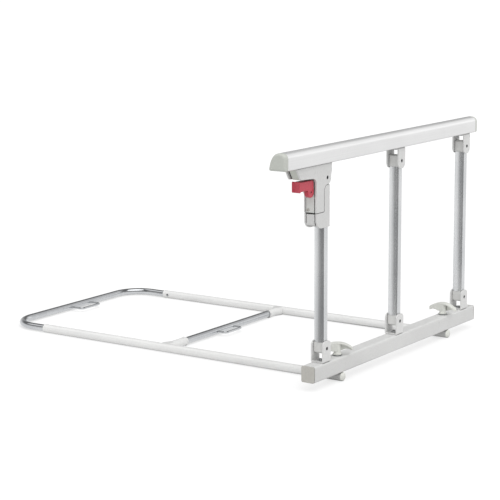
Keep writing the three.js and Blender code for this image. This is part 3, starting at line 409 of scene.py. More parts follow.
def scratched(board, base, rough, dark, amount):
    first, second = (board.noise(scale, 2.0, 0.4, stretch)
                     for scale, stretch in zip(scratch["scales"], scratch["stretches"]))
    patches = board.ranged(board.noise(scratch["patches"], 2.0), *scratch["patchRange"])
    mark = board.ranged(first + second, *scratch["range"]) * patches * amount
    marked = board.mix(mark * scratch["share"], base, scaled(dark, scratch["tone"]))
    return marked, rough + mark * scratch["rougher"]


def rubbed(board, base, rough, worn, amount):  # edges get lighter and smoother where hands and bedding rub
    bevelled = board.add("ShaderNodeBevel", {"samples": 4}, {"Radius": rub["radius"]})
    edge = board.ranged(board.dot(bevelled, board.add("ShaderNodeNewGeometry", output=1)), *rub["range"])
    mark = edge * board.ranged(board.noise(rub["patches"], 4.0, 0.6), *rub["patchRange"]) * amount
    return board.mix(mark, base, worn), rough - mark * rub["smoother"]


def shadedInCrevices(board, base, rough, dark, amount, reach):  # painted shade, patchy like dust: colour darkened where surfaces shelter each other
    shelter = board.add("ShaderNodeAmbientOcclusion", {"samples": 6}, {"Distance": reach}, 1)
    patches = creviceShade["least"] + board.noise(creviceShade["patches"], 3.0) * creviceShade["varies"]
    mark = board.ranged(shelter, *creviceShade["range"]) * patches * amount
    return board.mix(mark, base, scaled(dark, creviceShade["tone"])), rough + mark * creviceShade["rougher"]


def material(name, colour, dark, roughness, smudge=0.08, metallic=0.0, grain=900.0, grainDepth=0.00003,
             stretch=(1, 1, 1), peel=0.0, mottle=9.0, wear=0.25, worn=None, coat=0.0, coatRoughness=0.15,
             bumpStrength=0.4, scratches=0.0, paintedShade=0.75, paintedShadeReach=0.006, second=None):
    made = bpy.data.materials.new(name)
    made.use_nodes = True
    board = Board(made.node_tree)
    colour, dark = tone(*colour), tone(*dark)
    broad = board.noise(mottle, 4.0)
    height = board.noise(grain, 2.0, stretch=stretch)
    streak = board.noise(grain * mottled["streakScale"], 3.0, stretch=stretch)
    share = board.ranged(broad * mottled["broad"] + streak * mottled["streak"], *mottled["range"])
    base = board.mix(share, dark, colour)
    if second:  # another tone beyond a place along one axis
        along = board.add("ShaderNodeSeparateXYZ", values=[board.place()], output="XYZ".index(second["axis"]))
        base = board.mix(board.ranged(along, *second["range"]), tone(*second["colour"]), base)
    rough = roughness + (broad - 0.5) * smudge + (streak - 0.5) * smudge * mottled["streakSmudge"]
    if peel:  # the slow waves of sprayed paint
        height = height * waves["grain"] + board.noise(peel, 2.0) * waves["waves"]
    if scratches:
        base, rough = scratched(board, base, rough, dark, scratches)
    base, rough = rubbed(board, base, rough, tone(*worn) if worn else scaled(colour, rub["tone"]), wear)
    # painted shade over the colour, in the creases and joints between parts
    base, rough = shadedInCrevices(board, base, rough, dark, paintedShade, paintedShadeReach)
    normal = board.add("ShaderNodeBump", values={
        "Strength": bumpStrength, "Distance": grainDepth, "Height": height})
    surface = board.add("ShaderNodeBsdfPrincipled", values={
        "Base Color": base, "Roughness": rough, "Metallic": metallic, "Normal": normal, "Coat Weight": coat,
        "Coat Roughness": coatRoughness})
    board.add("ShaderNodeOutputMaterial", values=[surface])
    return made


# Each finish has its colour on the screen, the darker tone that it is mottled with, and its roughness.

sprayed = {"grain": 1500.0, "grainDepth": 0.00005, "peel": 420.0, "worn": (236, 236, 235), "scratches": 0.5}
moulded = {"grain": 1700.0, "grainDepth": 0.00006, "bumpStrength": 0.6, "wear": 0.35}
webTone = {"axis": "X", "range": (-0.325, -0.305), "colour": (206, 209, 201)}
shadedTone = {"axis": "Y", "range": (-0.4225, -0.4195), "colour": (182, 182, 181)}  # under the bar

finishes = {
    "powderGrey": material("powder grey", (222, 222, 221), (214, 214, 213), 0.42, **sprayed),
    # the brackets' painted shade reaches further in, darkening the insides of their ears
    "bracketGrey": material("bracket grey", (228, 228, 227), (220, 220, 219), 0.42, paintedShade=0.6,
                            paintedShadeReach=0.022, **sprayed),
    "postAluminium": material("post aluminium", (240, 241, 242), (224, 226, 228), 0.27, metallic=0.8,
                              grain=2600.0, grainDepth=0.000005, stretch=(1, 1, 0.008), wear=0.15,
                              worn=(240, 240, 240)),
    "railWhite": material("rail white", (248, 248, 248), (242, 242, 242), 0.3, metallic=0.4, grain=2200.0,
                          grainDepth=0.000015, stretch=(0.012, 1, 1), coat=0.8, coatRoughness=0.12,
                          scratches=0.3),
    "capGrey": material("cap grey", (200, 198, 192), (190, 188, 182), 0.5, **moulded),
    # the fittings get less painted shade, over a shorter reach
    "fittingGrey": material("fitting grey", (224, 224, 222), (214, 214, 212), 0.48, paintedShade=0.5,
                            paintedShadeReach=0.008, **moulded),
    "capGreen": material("cap green grey", (206, 208, 202), (196, 199, 192), 0.45, **moulded),
    "coreGreen": material("core green grey", (224, 225, 222), (215, 216, 213), 0.5, second=webTone,
                          **moulded),
    "leverRed": material("lever red", (206, 74, 90), (190, 60, 78), 0.33, grain=1500.0, grainDepth=0.00005,
                         wear=0.6, worn=(226, 96, 104), scratches=0.5),
    "knobWhite": material("knob white", (228, 229, 223), (218, 219, 213), 0.42,
                          **{**moulded, "grain": 1600.0}),
    "tubeWhite": material("tube white", (237, 237, 236), (229, 229, 228), 0.3, grain=1500.0,
                          grainDepth=0.00004, peel=520.0, coat=0.7, coatRoughness=0.06, scratches=0.35,
                          second=shadedTone),
    "chrome": material("chrome", (208, 210, 212), (194, 196, 199), 0.07, smudge=0.09, metallic=1.0,
                       grain=1300.0, grainDepth=0.000006, mottle=24.0, wear=0.0, scratches=0.25),
    "steel": material("steel", (186, 188, 190), (160, 162, 165), 0.3, metallic=0.95, grain=1900.0,
                      stretch=(1, 1, 0.2), wear=0.4),
    "darkSteel": material("dark steel", (96, 98, 102), (74, 76, 80), 0.38, metallic=0.75, grain=1700.0,
                          wear=0.5, worn=(120, 122, 125)),
}
print("finishes made,", len(finishes))

# Bottom bar and its caps

bar = {"length": 700, "depth": 31, "floor": 19, "top": 53, "wall": 1.5, "corner": 4, "flange": 3, "rim": 1.2,
       "lip": 1.9, "lipRim": 0.3, "lipSteps": 2, "plug": 14, "plugWall": 2, "clampHole": 4.3, "screwHole": 2.8}
tubePlaces = {"near": 114, "far": 574}
postPlaces = [50, 350, 650]
pivots = {"foot": 82, "head": 432}
midDepth = bar["depth"] / 2
firstHead = (postPlaces[0], midDepth, pivots["head"])


def barSection(inset, along):
    corners = block(inset, bar["depth"] - inset, bar["floor"] + inset, bar["top"] - inset,
                    bar["corner"] - inset)
    return outlined(corners, "x", along)


def makeBar():
    start, lip, flange = bar["flange"] + gap, bar["lip"], bar["flange"]
    length = bar["length"] - 2 * start
    tube = bored(thickened(barSection(0, start), "x", length), barSection, bar["wall"], "x", start, length)
    clampHoles = [rod(bar["clampHole"], "z", bar["floor"] - past, bar["top"] + past, place, midDepth)
                  for place in tubePlaces.values()]
    middle = (bar["floor"] + bar["top"]) / 2
    screwHoles = [rod(bar["screwHole"], "z", middle, bar["top"] + past, place, midDepth) for place in postPlaces]
    placePiece("bottomBar", cut(tube, *clampHoles, *screwHoles), (0, 0, 0), "powderGrey")
    for side in ("near", "far"):
        face = softenEnds(thickened(barSection(0, 0), "x", lip), "x", (0,), bar["rim"])
        softenEnds(face, "x", (lip,), bar["lipRim"], bar["lipSteps"])
        plug = hollowPlug(barSection, bar["wall"] + gap, bar["plugWall"], "x", lip - lap, flange,
                          flange + bar["plug"])
        cap = combined("UNION", face, plug)
        if side == "far":
            cap = flipped(cap, "x", bar["length"] / 2)
        placePiece(f"barCap{side.title()}", cap, (0, 0, 0), "capGrey")


makeBar()

# Brackets, pins and screws

bracket = {"length": 29, "depth": 30, "ears": 16.3, "base": 29, "sheet": 3, "bend": 4, "innerBend": 1,
           "earRun": 11.5, "footEarRise": 8, "headEarRise": 12, "earSteps": 12, "edge": 0.35, "edgeSteps": 2}
pin = {"radius": 3.5, "hole": 3.8, "sunk": 0.6, "rim": 0.3, "socket": 2.31, "socketDepth": 3}
screw = {"profile": [(0, -1.5), (2, -1.5), (2, -3), (3.6, -3), (4.5, -2.4), (5, -1.5), (5, 0), (2.5, 0),
                     (2.5, 8.8), (1.3, 10), (0, 10)]}  # radius and height: the head below z = 0, the shank up


def bracketShape(earRise):  # the ears' corners are rounded on a stretched bracket, so that they come out oval
    half, reach = bracket["depth"] / 2, bracket["length"] / 2
    ears, base, sheet = bracket["ears"], bracket["base"], bracket["sheet"]
    bend, innerBend, inner = bracket["bend"], bracket["innerBend"], half - sheet
    bm = slab([(-half, ears), (-half, -base, bend), (half, -base, bend), (half, ears), (inner, ears),
               (inner, sheet - base, innerBend), (-inner, sheet - base, innerBend), (-inner, ears)],
              "x", -reach, reach)
    stretch, near = bracket["earRun"] / earRise, meshing["near"]
    bmesh.ops.scale(bm, verts=bm.verts[:], vec=(1, 1, stretch))
    corners = [edge for edge in bm.edges
               if all(abs(abs(vert.co.x) - reach) < near and vert.co.z > ears * stretch - near
                      for vert in edge.verts)
               and abs(edge.verts[0].co.y - edge.verts[1].co.y) > meshing["long"]]
    rounded(bm, corners, bracket["earRun"], bracket["earSteps"])
    bmesh.ops.scale(bm, verts=bm.verts[:], vec=(1, 1, 1 / stretch))
    sharp = math.radians(meshing["softenAbove"])
    edges = [edge for edge in bm.edges if len(edge.link_faces) == 2 and edge.calc_face_angle() > sharp]
    bmesh.ops.bevel(bm, geom=edges, offset=bracket["edge"], affect="EDGES", segments=bracket["edgeSteps"],
                    profile=0.5, material=-1, clamp_overlap=True)
    return cut(bm, rod(pin["hole"], "y", -half - past, half + past),
               rod(bar["screwHole"], "z", -base - past, sheet - base + past))


def pinShape():
    half, depth = bracket["depth"] / 2 - pin["sunk"], pin["socketDepth"]
    sockets = [rod(pin["socket"], "y", start, end, steps=6)
               for start, end in ((-half - past, depth - half), (half - depth, half + past))]
    return cut(rod(pin["radius"], "y", -half, half, rim=pin["rim"]), *sockets)


def makeBrackets():
    for number, place in enumerate(postPlaces, 1):
        foot, head = (place, midDepth, pivots["foot"]), (place, midDepth, pivots["head"])
        onBar = (place, midDepth, bar["top"] + bracket["sheet"])
        underRail = (place, midDepth, pivots["head"] + bracket["base"] - bracket["sheet"])
        placePiece(f"bottomBracket{number}", bracketShape(bracket["footEarRise"]), foot,
                   "bracketGrey")
        placePiece(f"bottomPin{number}", pinShape(), foot, "darkSteel")
        placePiece(f"bracketScrew{number}", flipped(lathed(screw["profile"]), "z"), onBar, "steel")
        if number > 1:
            upper = flipped(bracketShape(bracket["headEarRise"]), "z")
            placePiece(f"topBracket{number}", upper, head, "bracketGrey")
            placePiece(f"topBracketScrew{number}", lathed(screw["profile"]), underRail, "steel")
            placePiece(f"topPin{number}", pinShape(), head, "darkSteel")
    placePiece("latchPivotPin", pinShape(), firstHead, "darkSteel")


makeBrackets()
print("bar and brackets made")

# Posts and their end fittings

post = {"width": 14, "depth": 23, "crown": 2.5, "wall": 1.4, "edge": 0.5, "edgeSteps": 3, "edgeAbove": 40,
        "arcSteps": 16, "endInset": 13, "sleeveInset": 22.7, "screwDrop": 85.7}
fitting = {"width": 17, "depth": 23.4, "footRadius": 11, "headRadius": 13, "plug": 26, "plugWall": 3,
           "plugLap": 1.5, "rim": 0.75}


def postSection(inset, along):  # two arcs joined by flat sides
    half = post["depth"] / 2 - inset
    radius = ((post["depth"] / 2) ** 2 + post["crown"] ** 2) / (2 * post["crown"])
    centre = post["width"] / 2 + post["crown"] - radius
    sweep = math.asin(half / (radius - inset))
    steps = post["arcSteps"]
    bm = bmesh.new()
    for side in (1, -1):
        first = bm.verts.new((side * (centre + (radius - inset) * math.cos(sweep)), -side * half, along))
        bmesh.ops.spin(bm, geom=[first], cent=(side * centre, 0, along), axis=(0, 0, 1), angle=2 * sweep,
                       steps=steps)
    bm.verts.ensure_lookup_table()
    for first, second in ((steps, steps + 1), (2 * steps + 1, 0)):
        bm.edges.new((bm.verts[first], bm.verts[second]))
    bmesh.ops.contextual_create(bm, geom=bm.edges[:])
    return bm


def postShape(length):
    start = post["endInset"]
    bm = thickened(postSection(0, start), "z", length)
    corners = [edge for edge in bm.edges if abs(edge.verts[0].co.z - edge.verts[1].co.z) > meshing["long"]
               and edge.calc_face_angle() > math.radians(post["edgeAbove"])]
    rounded(bm, corners, post["edge"], post["edgeSteps"])
    return bored(bm, postSection, post["wall"], "z", start, length)


def fittingShape(eyeRadius):
    half, deep, seat = fitting["width"] / 2, fitting["depth"] / 2, post["endInset"]
    bm = bmesh.new()
    first = bm.verts.new((-half, 0, -math.sqrt(eyeRadius ** 2 - half ** 2)))
    sweep = 2 * math.asin(half / eyeRadius)
    last = bmesh.ops.spin(bm, geom=[first], cent=(0, 0, 0), axis=(0, -1, 0), angle=sweep,
                          steps=post["arcSteps"])["geom_last"][0]
    top = [bm.verts.new((half, 0, seat)), bm.verts.new((-half, 0, seat))]
    for pair in ((last, top[0]), (top[0], top[1]), (top[1], first)):
        bm.edges.new(pair)
    bmesh.ops.contextual_create(bm, geom=bm.edges[:])
    thickened(moved(bm, y=-deep), "y", 2 * deep)
    softenEnds(bm, "y", (-deep, deep), fitting["rim"])
    plug = hollowPlug(postSection, post["wall"] + gap, fitting["plugWall"], "z", seat - fitting["plugLap"],
                      seat, seat + fitting["plug"])
    return cut(combined("UNION", bm, plug), rod(pin["hole"], "y", -deep - past, deep + past))


def makePosts():
    link, inset = pivots["head"] - pivots["foot"], post["endInset"]
    for number, place in enumerate(postPlaces, 1):
        foot, head = (place, midDepth, pivots["foot"]), (place, midDepth, pivots["head"])
        if number == 1:  # it ends in the latch sleeve
            tube = cut(postShape(link - post["sleeveInset"] - inset),
                       rod(bar["screwHole"], "x", 0, post["width"], 0, link - post["screwDrop"]))
        else:
            tube = postShape(link - 2 * inset)
        placePiece(f"post{number}", tube, foot, "postAluminium")
        placePiece(f"postFoot{number}", fittingShape(fitting["footRadius"]), foot,
                   "fittingGrey")
        if number > 1:
            upper = flipped(fittingShape(fitting["headRadius"]), "z")
            placePiece(f"postHead{number}", upper, head, "fittingGrey")


makePosts()
print("posts made")

# Handrail and its caps, measured from the first upper pin

rail = {"start": -150, "end": 631, "near": -161, "depth": 39, "height": 35, "base": 29, "wall": 2,
        "footCorner": 3, "crownShare": 0.42, "shoulderShare": 0.66, "backPulls": (0.95, 0.43, 0.82),
        "frontPulls": (0.2, 0.93), "backSteps": 25, "frontSteps": 17, "rim": 5, "rimSteps": 7, "plug": 14,
        "plugWall": 2, "housingScrews": (-69.5, 2.65)}


def railSection(inset, along):  # flat foot and sides, and a crown of two curves that meet off the middle
    half = rail["depth"] / 2 - inset
    low, high = rail["base"] + inset, rail["base"] + rail["height"] - inset
    corner = rail["footCorner"]

    def at(across, up):  # shares of the section's depth and height
        return (-half + across * 2 * half, low + up * (high - low), 0)

    crown, shoulder = at(rail["crownShare"], 1), at(0, rail["shoulderShare"])
    lift, rise, pull = rail["backPulls"]
    backPull, frontRise = rail["frontPulls"]
    back = interpolate_bezier((half, low + corner, 0), at(lift, rise), at(pull, 1), crown, rail["backSteps"])
    front = interpolate_bezier(crown, at(backPull, 1), at(0, frontRise), shoulder, rail["frontSteps"])
    points = [tuple(point[:2]) for point in (*back, *front[1:])]
    return outlined([(-half, low, corner), (half, low, corner), *points], "x", along)


def capShape():  # the rail's section drawn out, then closed in a quarter round
    bm = railSection(0, rail["start"])
    middle = Vector((0, 0, rail["base"] + rail["height"] / 2))
    made = bmesh.ops.extrude_face_region(bm, geom=bm.faces[:])["geom"]
    straight = rail["start"] - rail["near"] - rail["rim"]
    bmesh.ops.translate(bm, verts=only(bmesh.types.BMVert, made), vec=(-straight, 0, 0))
    reach, size = 0, (1, 1)
    for step in range(1, rail["rimSteps"] + 1):
        angle = math.pi / 2 * step / rail["rimSteps"]
        inset = rail["rim"] * (1 - math.cos(angle))
        onward = rail["rim"] * math.sin(angle) - reach
        goal = (1 - 2 * inset / rail["depth"], 1 - 2 * inset / rail["height"])
        face = only(bmesh.types.BMFace, made)
        made = bmesh.ops.extrude_face_region(bm, geom=face)["geom"]
        bmesh.ops.delete(bm, geom=face, context="FACES_ONLY")
        verts = only(bmesh.types.BMVert, made)
        bmesh.ops.translate(bm, verts=verts, vec=-middle - Vector((onward, 0, 0)))
        bmesh.ops.scale(bm, verts=verts, vec=(1, goal[0] / size[0], goal[1] / size[1]))
        bmesh.ops.translate(bm, verts=verts, vec=middle)
        reach, size = reach + onward, goal
    settled(bm)
    start = rail["start"]
    plug = hollowPlug(railSection, rail["wall"] + gap, rail["plugWall"], "x", start - past, start,
                      start + rail["plug"])
    return combined("UNION", bm, plug)


def makeHandrail():
    start, length = rail["start"], rail["end"] - rail["start"]
    tube = bored(thickened(railSection(0, start), "x", length), railSection, rail["wall"], "x", start, length)
    places = [place - postPlaces[0] for place in postPlaces[1:]] + list(rail["housingScrews"])
    holes = [rod(bar["screwHole"], "z", rail["base"] - past, rail["base"] + rail["height"] / 2, place)
             for place in places]
    placePiece("handrailTube", cut(tube, *holes), firstHead, "railWhite", "handrail")
    for side in ("near", "far"):
        cap = capShape()
        if side == "far":
            cap = flipped(cap, "x", (rail["start"] + rail["end"]) / 2)
        placePiece(f"handrailCap{side.title()}", cap, firstHead, "capGreen")


makeHandrail()
print("handrail made")

# Tubes under the bed

tubes = {"radius": 9.5, "bore": 8.3, "rim": 0.3, "start": 3, "end": 810, "height": 9.5, "cross": 461,
         "reach": {"near": 74, "far": 53}, "flare": 14, "boreStart": 10.7, "buttonPlace": 795,
         "buttonHole": 3.3}
stubs = {"foot": [(14, 9.5), (12.4, 14), (11, 19), (10, 24.5), (9.5, 29.5)],  # radius and height
         "lip": [(9.5, -4), (10.5, -3.6), (10.5, -0.4), (10.2, 0)]}  # heights from the stub's end
chromed = {"radius": 8, "wall": 1.2, "reach": 914, "bend": 65, "start": 715, "crossStart": 150, "crossEnd": 559}
button = {"profile": [(0, 3.92), (4, 3.92), (4, 5.12), (3, 5.12), (3, 9.6), (2.8, 10.5), (2.2, 11),
                      (1.2, 11.25), (0, 11.3)]}
tubePlug = {"dome": 5, "domeSteps": 10, "neck": 8, "length": 6.5, "hollow": 6}
loops = {"wire": 2.75, "bend": 9, "steps": 20, "rear": {"middle": 357.5, "width": 75, "tube": 914, "reach": 44},
         "middle": {"middle": 337, "width": 70, "tube": 461, "reach": 33}}


def sideTubeShape(reach, facing):
    radius, flare = tubes["radius"], tubes["flare"]
    lip = [(wide, reach + back) for wide, back in stubs["lip"]]
    flared = turned(lathed([(0, 0), (flare, 0), *stubs["foot"], *lip, (0, reach)]), 90, "Y")
    stub = combined("INTERSECT", flared, slab(block(-flare, flare, -radius, radius), "x", 0, reach + lap))
    stub = cut(stub, rod(tubes["bore"], "x", tubes["boreStart"], reach + past))
    if facing < 0:
        stub = turned(stub, 180, "Z")
    whole = combined("UNION", rod(radius, "y", tubes["start"], tubes["end"], rim=tubes["rim"]),
                     moved(stub, y=tubes["cross"]))
    outside = radius + past
    return cut(whole, rod(tubes["bore"], "y", tubes["start"] - past, tubes["end"] + past),
               rod(tubes["buttonHole"], "x", *sorted((0, facing * outside)), tubes["buttonPlace"]),
               rod(bar["clampHole"], "z", 0, outside, 0, midDepth))


def tubePlugShape():
    turns = [math.pi / 2 * step / tubePlug["domeSteps"] for step in range(tubePlug["domeSteps"] + 1)]
    dome = [(tubes["radius"] * math.sin(turn), -tubePlug["dome"] * math.cos(turn)) for turn in turns]
    neck, length, hollow = tubePlug["neck"], tubePlug["length"], tubePlug["hollow"]
    return turned(lathed([*dome, (neck, 0), (neck, length), (hollow, length), (hollow, 0), (0, 0)]), -90, "X")


def makeTubes():
    height, radius, wall = tubes["height"], chromed["radius"], chromed["wall"]
    buttonHoles = []
    for side, facing in (("near", 1), ("far", -1)):
        place, name = tubePlaces[side], side.title()
        placePiece(f"sideTube{name}", sideTubeShape(tubes["reach"][side], facing), (place, 0, height),
                   "tubeWhite")
        placePiece(f"tubePlug{name}", tubePlugShape(), (place, tubes["start"], height),
                   "knobWhite")
        placePiece(f"snapButton{name}", turned(lathed(button["profile"]), 90 * facing, "Y"),
                   (place, tubes["buttonPlace"], height), "steel")
        inside, outside = sorted((place, place + facing * (radius + past)))
        buttonHoles.append(rod(tubes["buttonHole"], "x", inside, outside, tubes["buttonPlace"], height))
    bend = ("bend", chromed["bend"], -90)
    leg = ("on", chromed["reach"] - chromed["bend"] - chromed["start"])
    across = ("on", tubePlaces["far"] - tubePlaces["near"] - 2 * chromed["bend"])
    frameTube = hollowPipe((tubePlaces["near"], chromed["start"], height), (0, 1, 0),
                           [leg, bend, across, bend, leg], radius, wall)
    placePiece("uTube", cut(frameTube, *buttonHoles), (0, 0, 0), "chrome")
    cross = hollowPipe((chromed["crossStart"], tubes["cross"], height), (1, 0, 0),
                       [("on", chromed["crossEnd"] - chromed["crossStart"])], radius, wall)
    placePiece("crossTube", cross, (0, 0, 0), "chrome")


def makeLoops():
    wire, bend = loops["wire"], loops["bend"]
    for side in ("rear", "middle"):
        loop = loops[side]
        half = loop["width"] / 2 - wire
        leg, corner = ("on", loop["reach"] - wire - bend), ("bend", bend, 90)
        shape = pipe((loop["middle"] - half, loop["tube"], tubes["height"]), (0, -1, 0),
                     [leg, corner, ("on", 2 * half - 2 * bend), corner, leg], wire, loops["steps"])
        room = rod(tubes["bore"], "x", loop["middle"] - loop["width"], loop["middle"] + loop["width"],
                   loop["tube"], tubes["height"])
        placePiece(f"strapLoop{side.title()}", cut(shape, room), (0, 0, 0), "chrome")


makeTubes()
makeLoops()
print("tubes made")

# Wing knobs and washers

knob = {"top": 28, "span": 66, "width": 15, "shell": 3, "droop": 13, "tipDepth": 6, "scallop": 3,
        "scallopSteps": 12, "hub": 7.5, "tip": 6, "tipCorner": 2.4, "rim": 1.3, "bore": 4.3, "boreTop": 19.3,
        "hubProfile": [(8.6, 1.8), (9, 2.2), (9, 4.4), (8.6, 4.8), (7.6, 5.3), (7.2, 6.2), (7.2, 25.6)],
        "turns": {"near": 40, "far": 0}}
washer = {"radius": 10.5, "bore": 4.3, "height": 1.5, "edge": 0.3}


def arched(half, rise, top, middle=0, steps=24):  # points of an arc over a chord, from right to left
    radius = (half ** 2 + rise ** 2) / (2 * rise)
    sweep = math.asin(half / radius)
    turns = [sweep - 2 * sweep * step / steps for step in range(steps + 1)]
    return [(middle + radius * math.sin(turn), top - radius + radius * math.cos(turn)) for turn in turns]


def knobShape():
    tip, half = knob["span"] / 2, knob["width"] / 2
    top, shell, droop = (knob[key] for key in ("top", "shell", "droop"))
    floor = top - droop - knob["tipDepth"]
    middle, corner = (tip + knob["hub"]) / 2, knob["tipCorner"]
    reach, scallop = middle - knob["hub"] - shell, knob["scallop"]
    foot = [point for side in (-1, 1)
            for point in reversed(arched(reach, scallop, floor + scallop, side * middle, knob["scallopSteps"]))]
    wings = slab([*arched(tip, droop, top), (-tip, floor, corner), *foot, (tip, floor, corner)], "x",
                 -half, half, knob["rim"])
    wings = combined("INTERSECT", wings, slab(block(-half, half, -tip, tip, knob["tip"]), "z", 0, top + past))
    radius = (tip ** 2 + droop ** 2) / (2 * droop) - shell
    inner = tip + past
    roof = arched(inner, radius - math.sqrt(radius ** 2 - inner ** 2), top - shell)
    crest = len(roof) // 2
    wall = half - shell
    pockets = [slab([*roof[crest:], (-inner, -lap), (0, -lap)], "x", -half - past, wall),
               slab([*roof[:crest + 1], (0, -lap), (inner, -lap)], "x", -wall, half + past)]
    profile = knob["hubProfile"]
    hub = lathed([(0, profile[0][1]), *profile, (0, profile[-1][1])])
    return cut(combined("UNION", cut(wings, *pockets), hub), rod(knob["bore"], "z", -lap, knob["boreTop"]))


def washerShape():
    radius, bore, height, edge = (washer[key] for key in ("radius", "bore", "height", "edge"))
    return lathed([(bore, 0), (radius - edge, 0), (radius, edge), (radius, height - edge),
                   (radius - edge, height), (bore, height), (bore, 0)])


def makeKnobs():
    for side, place in tubePlaces.items():
        seat = (place, midDepth, bar["top"])
        wings = turned(knobShape(), knob["turns"][side], "Z")
        placePiece(f"wingKnob{side.title()}", wings, seat, "knobWhite")
        placePiece(f"knobWasher{side.title()}", washerShape(), seat, "steel")


makeKnobs()
print("knobs made")

# Latch housing, sleeve, core, lever and spring, measured from the first upper pin

latch = {"half": 15, "plate": 3.75, "rim": 0.8, "coreHalf": 10.95,
         "outline": [(-112, 27, 0.6), (-98, 5.4, 2), (-41, 2.5, 12), (-41, -67.6, 1.5), (-12.1, -67.6, 1.5),
                     (-12.1, -13.9, 13.2), (13.9, -13.9, 13.2), (13.9, 3.5, 6), (17, 13.2, 6), (17, 28.3),
                     (-112, 28.3)]}
bolt = {"place": -27, "room": 5.3}
leverPin = {"place": (-52.3, -24), "hole": 2.3}
sleeve = {"front": -39.8, "bottom": -99.7, "top": -14.7, "back": 12, "crown": 3.7, "crownSteps": 32,
          "riser": -11.1, "blockTop": -68.6, "blockCorner": 1.5, "heel": 18, "toe": 6, "shoulder": 12,
          "edge": 1.2, "socketFloor": -80.6, "screwSeat": 12.3}
insert = {"slit": 2.6, "farSlit": 0.8, "drop": 1.6, "inset": 0.6, "rise": 6.3, "corner": 4, "topCorner": 1.5}
tongue = {"reach": 11, "foot": -22.4, "corners": (0.5, 0.5, 10.9, 10.9)}


def makePlates():
    half, thick = latch["half"], latch["plate"]
    for side, start, outer in (("front", -half, -half), ("back", half - thick, half)):
        bm = cut(slab(latch["outline"], "y", start, start + thick, latch["rim"], (outer,)),
                 rod(pin["hole"], "y", -half - past, half + past))
        placePiece(f"latchPlate{side.title()}", bm, firstHead, "powderGrey")


def sleeveBody():  # the riser on post 1 and the block under the leg, hollow for the insert
    half, corner = latch["half"], sleeve["blockCorner"]
    front, bottom, top, back, riser, blockTop = (
        sleeve[key] for key in ("front", "bottom", "top", "back", "riser", "blockTop"))
    side = slab([(front, bottom, sleeve["heel"]), (back, bottom, sleeve["toe"]), (back, top),
                 (riser, top, sleeve["shoulder"]), (riser, blockTop, corner), (front, blockTop, corner)],
                "y", -half, half)
    crown = [(x, y) for y, x in arched(half, sleeve["crown"], back, 0, sleeve["crownSteps"])]
    plan = slab([*crown, (front, -half, sleeve["edge"]), (front, half, sleeve["edge"])], "z", bottom - past,
                top + past)
    roomHalf = half - latch["plate"]
    room = slab(block(front - past, riser, bottom - past, blockTop + past), "y", -roomHalf, roomHalf)
    return cut(combined("INTERSECT", side, plan), room)


def sleeveInsert():  # stands back from the sleeve's walls, so that dark slits show round it
    roomHalf, blockTop = latch["half"] - latch["plate"], sleeve["blockTop"]
    near, far = insert["slit"] - roomHalf, roomHalf - insert["farSlit"]
    left, right = sleeve["front"] + insert["inset"], sleeve["riser"] + past
    low, high = sleeve["bottom"] + insert["rise"], blockTop - insert["drop"]
    corner, topCorner = insert["corner"], insert["topCorner"]
    return combined("INTERSECT",
                    slab(block(left, right, low, high, corner, 0, 0, topCorner), "y", near, far),
                    slab(block(left, right, near, far, topCorner, 0, 0, topCorner), "z", sleeve["bottom"],
                         blockTop + lap))


def makeSleeve():
    half, bottom, reach, foot = latch["half"], sleeve["bottom"], tongue["reach"], tongue["foot"]
    strap = slab(block(-reach, reach, foot, reach, *tongue["corners"]), "y", -latch["coreHalf"],
                 latch["coreHalf"])
    whole = cut(combined("UNION", sleeveBody(), sleeveInsert(), strap),
                thickened(postSection(-gap, bottom - past), "z", foot - bottom + past),
                rod(pin["hole"], "y", -half - past, half + past),
                rod(bolt["room"], "z", sleeve["socketFloor"], sleeve["blockTop"] + past, bolt["place"]),
                rod(bar["screwHole"], "x", 0, sleeve["back"] + past, 0, -post["screwDrop"]))
    placePiece("latchSleeve", whole, firstHead, "powderGrey")
    shank = moved(turned(lathed(screw["profile"]), -90, "Y"), sleeve["screwSeat"], 0, -post["screwDrop"])
    placePiece("sleeveScrew", shank, firstHead, "steel")


core = {"left": -111.3, "right": 16.3, "top": 29, "roof": 25, "wall": 3, "rim": 0.3, "webFoot": 4.5,
        "webTop": -106, "webToe": -92.07, "webCorner": 0.6, "webReveal": 3, "webDepth": 9,
        "legFace": -40.3, "legInner": -12.45, "legSole": -67.25, "legCorner": 1.5, "sole": 7,
        "corner": 1.6, "clear": 0.03, "reveal": 2.2, "revealDepth": 5, "revealCorner": 0.8, "guide": -36,
        "guideThickness": 3, "guideGap": 0.4, "wallLap": 1.5, "lugRadius": 4, "lugCorner": 3.95,
        "lug": (0.75, 6.75), "window": (-19.6, -9.95), "windowHalf": 2.8, "windowRun": 8,
        "screw": (5.5, -61.65), "screwHole": 1.8, "screwDepth": 10, "railScrews": (-69.5, 2.95)}


def legShape():  # hollow, and stepped back from the front plate by the reveal
    face, inner, sole, roof = core["legFace"], core["legInner"], core["legSole"], core["roof"]
    half, wall, side = latch["coreHalf"], core["wall"], latch["coreHalf"] - core["clear"]
    step, reveal = face + core["revealDepth"], core["reveal"] - side
    stepCorner, corner = core["revealCorner"], core["corner"]
    leg = combined("INTERSECT",
                   slab(block(face, inner, sole, roof + lap, core["legCorner"]), "y", -half - lap, half + lap),
                   slab([(face, reveal, stepCorner), (step, reveal), (step, -side), (inner, -side, corner),
                         (inner, side, corner), (face, side, corner)], "z", sole - lap, roof + past))
    hollow = block(face + wall, inner - wall, sole + core["sole"], roof - wall)
    return cut(leg, slab(hollow, "y", -half - lap, half + lap))


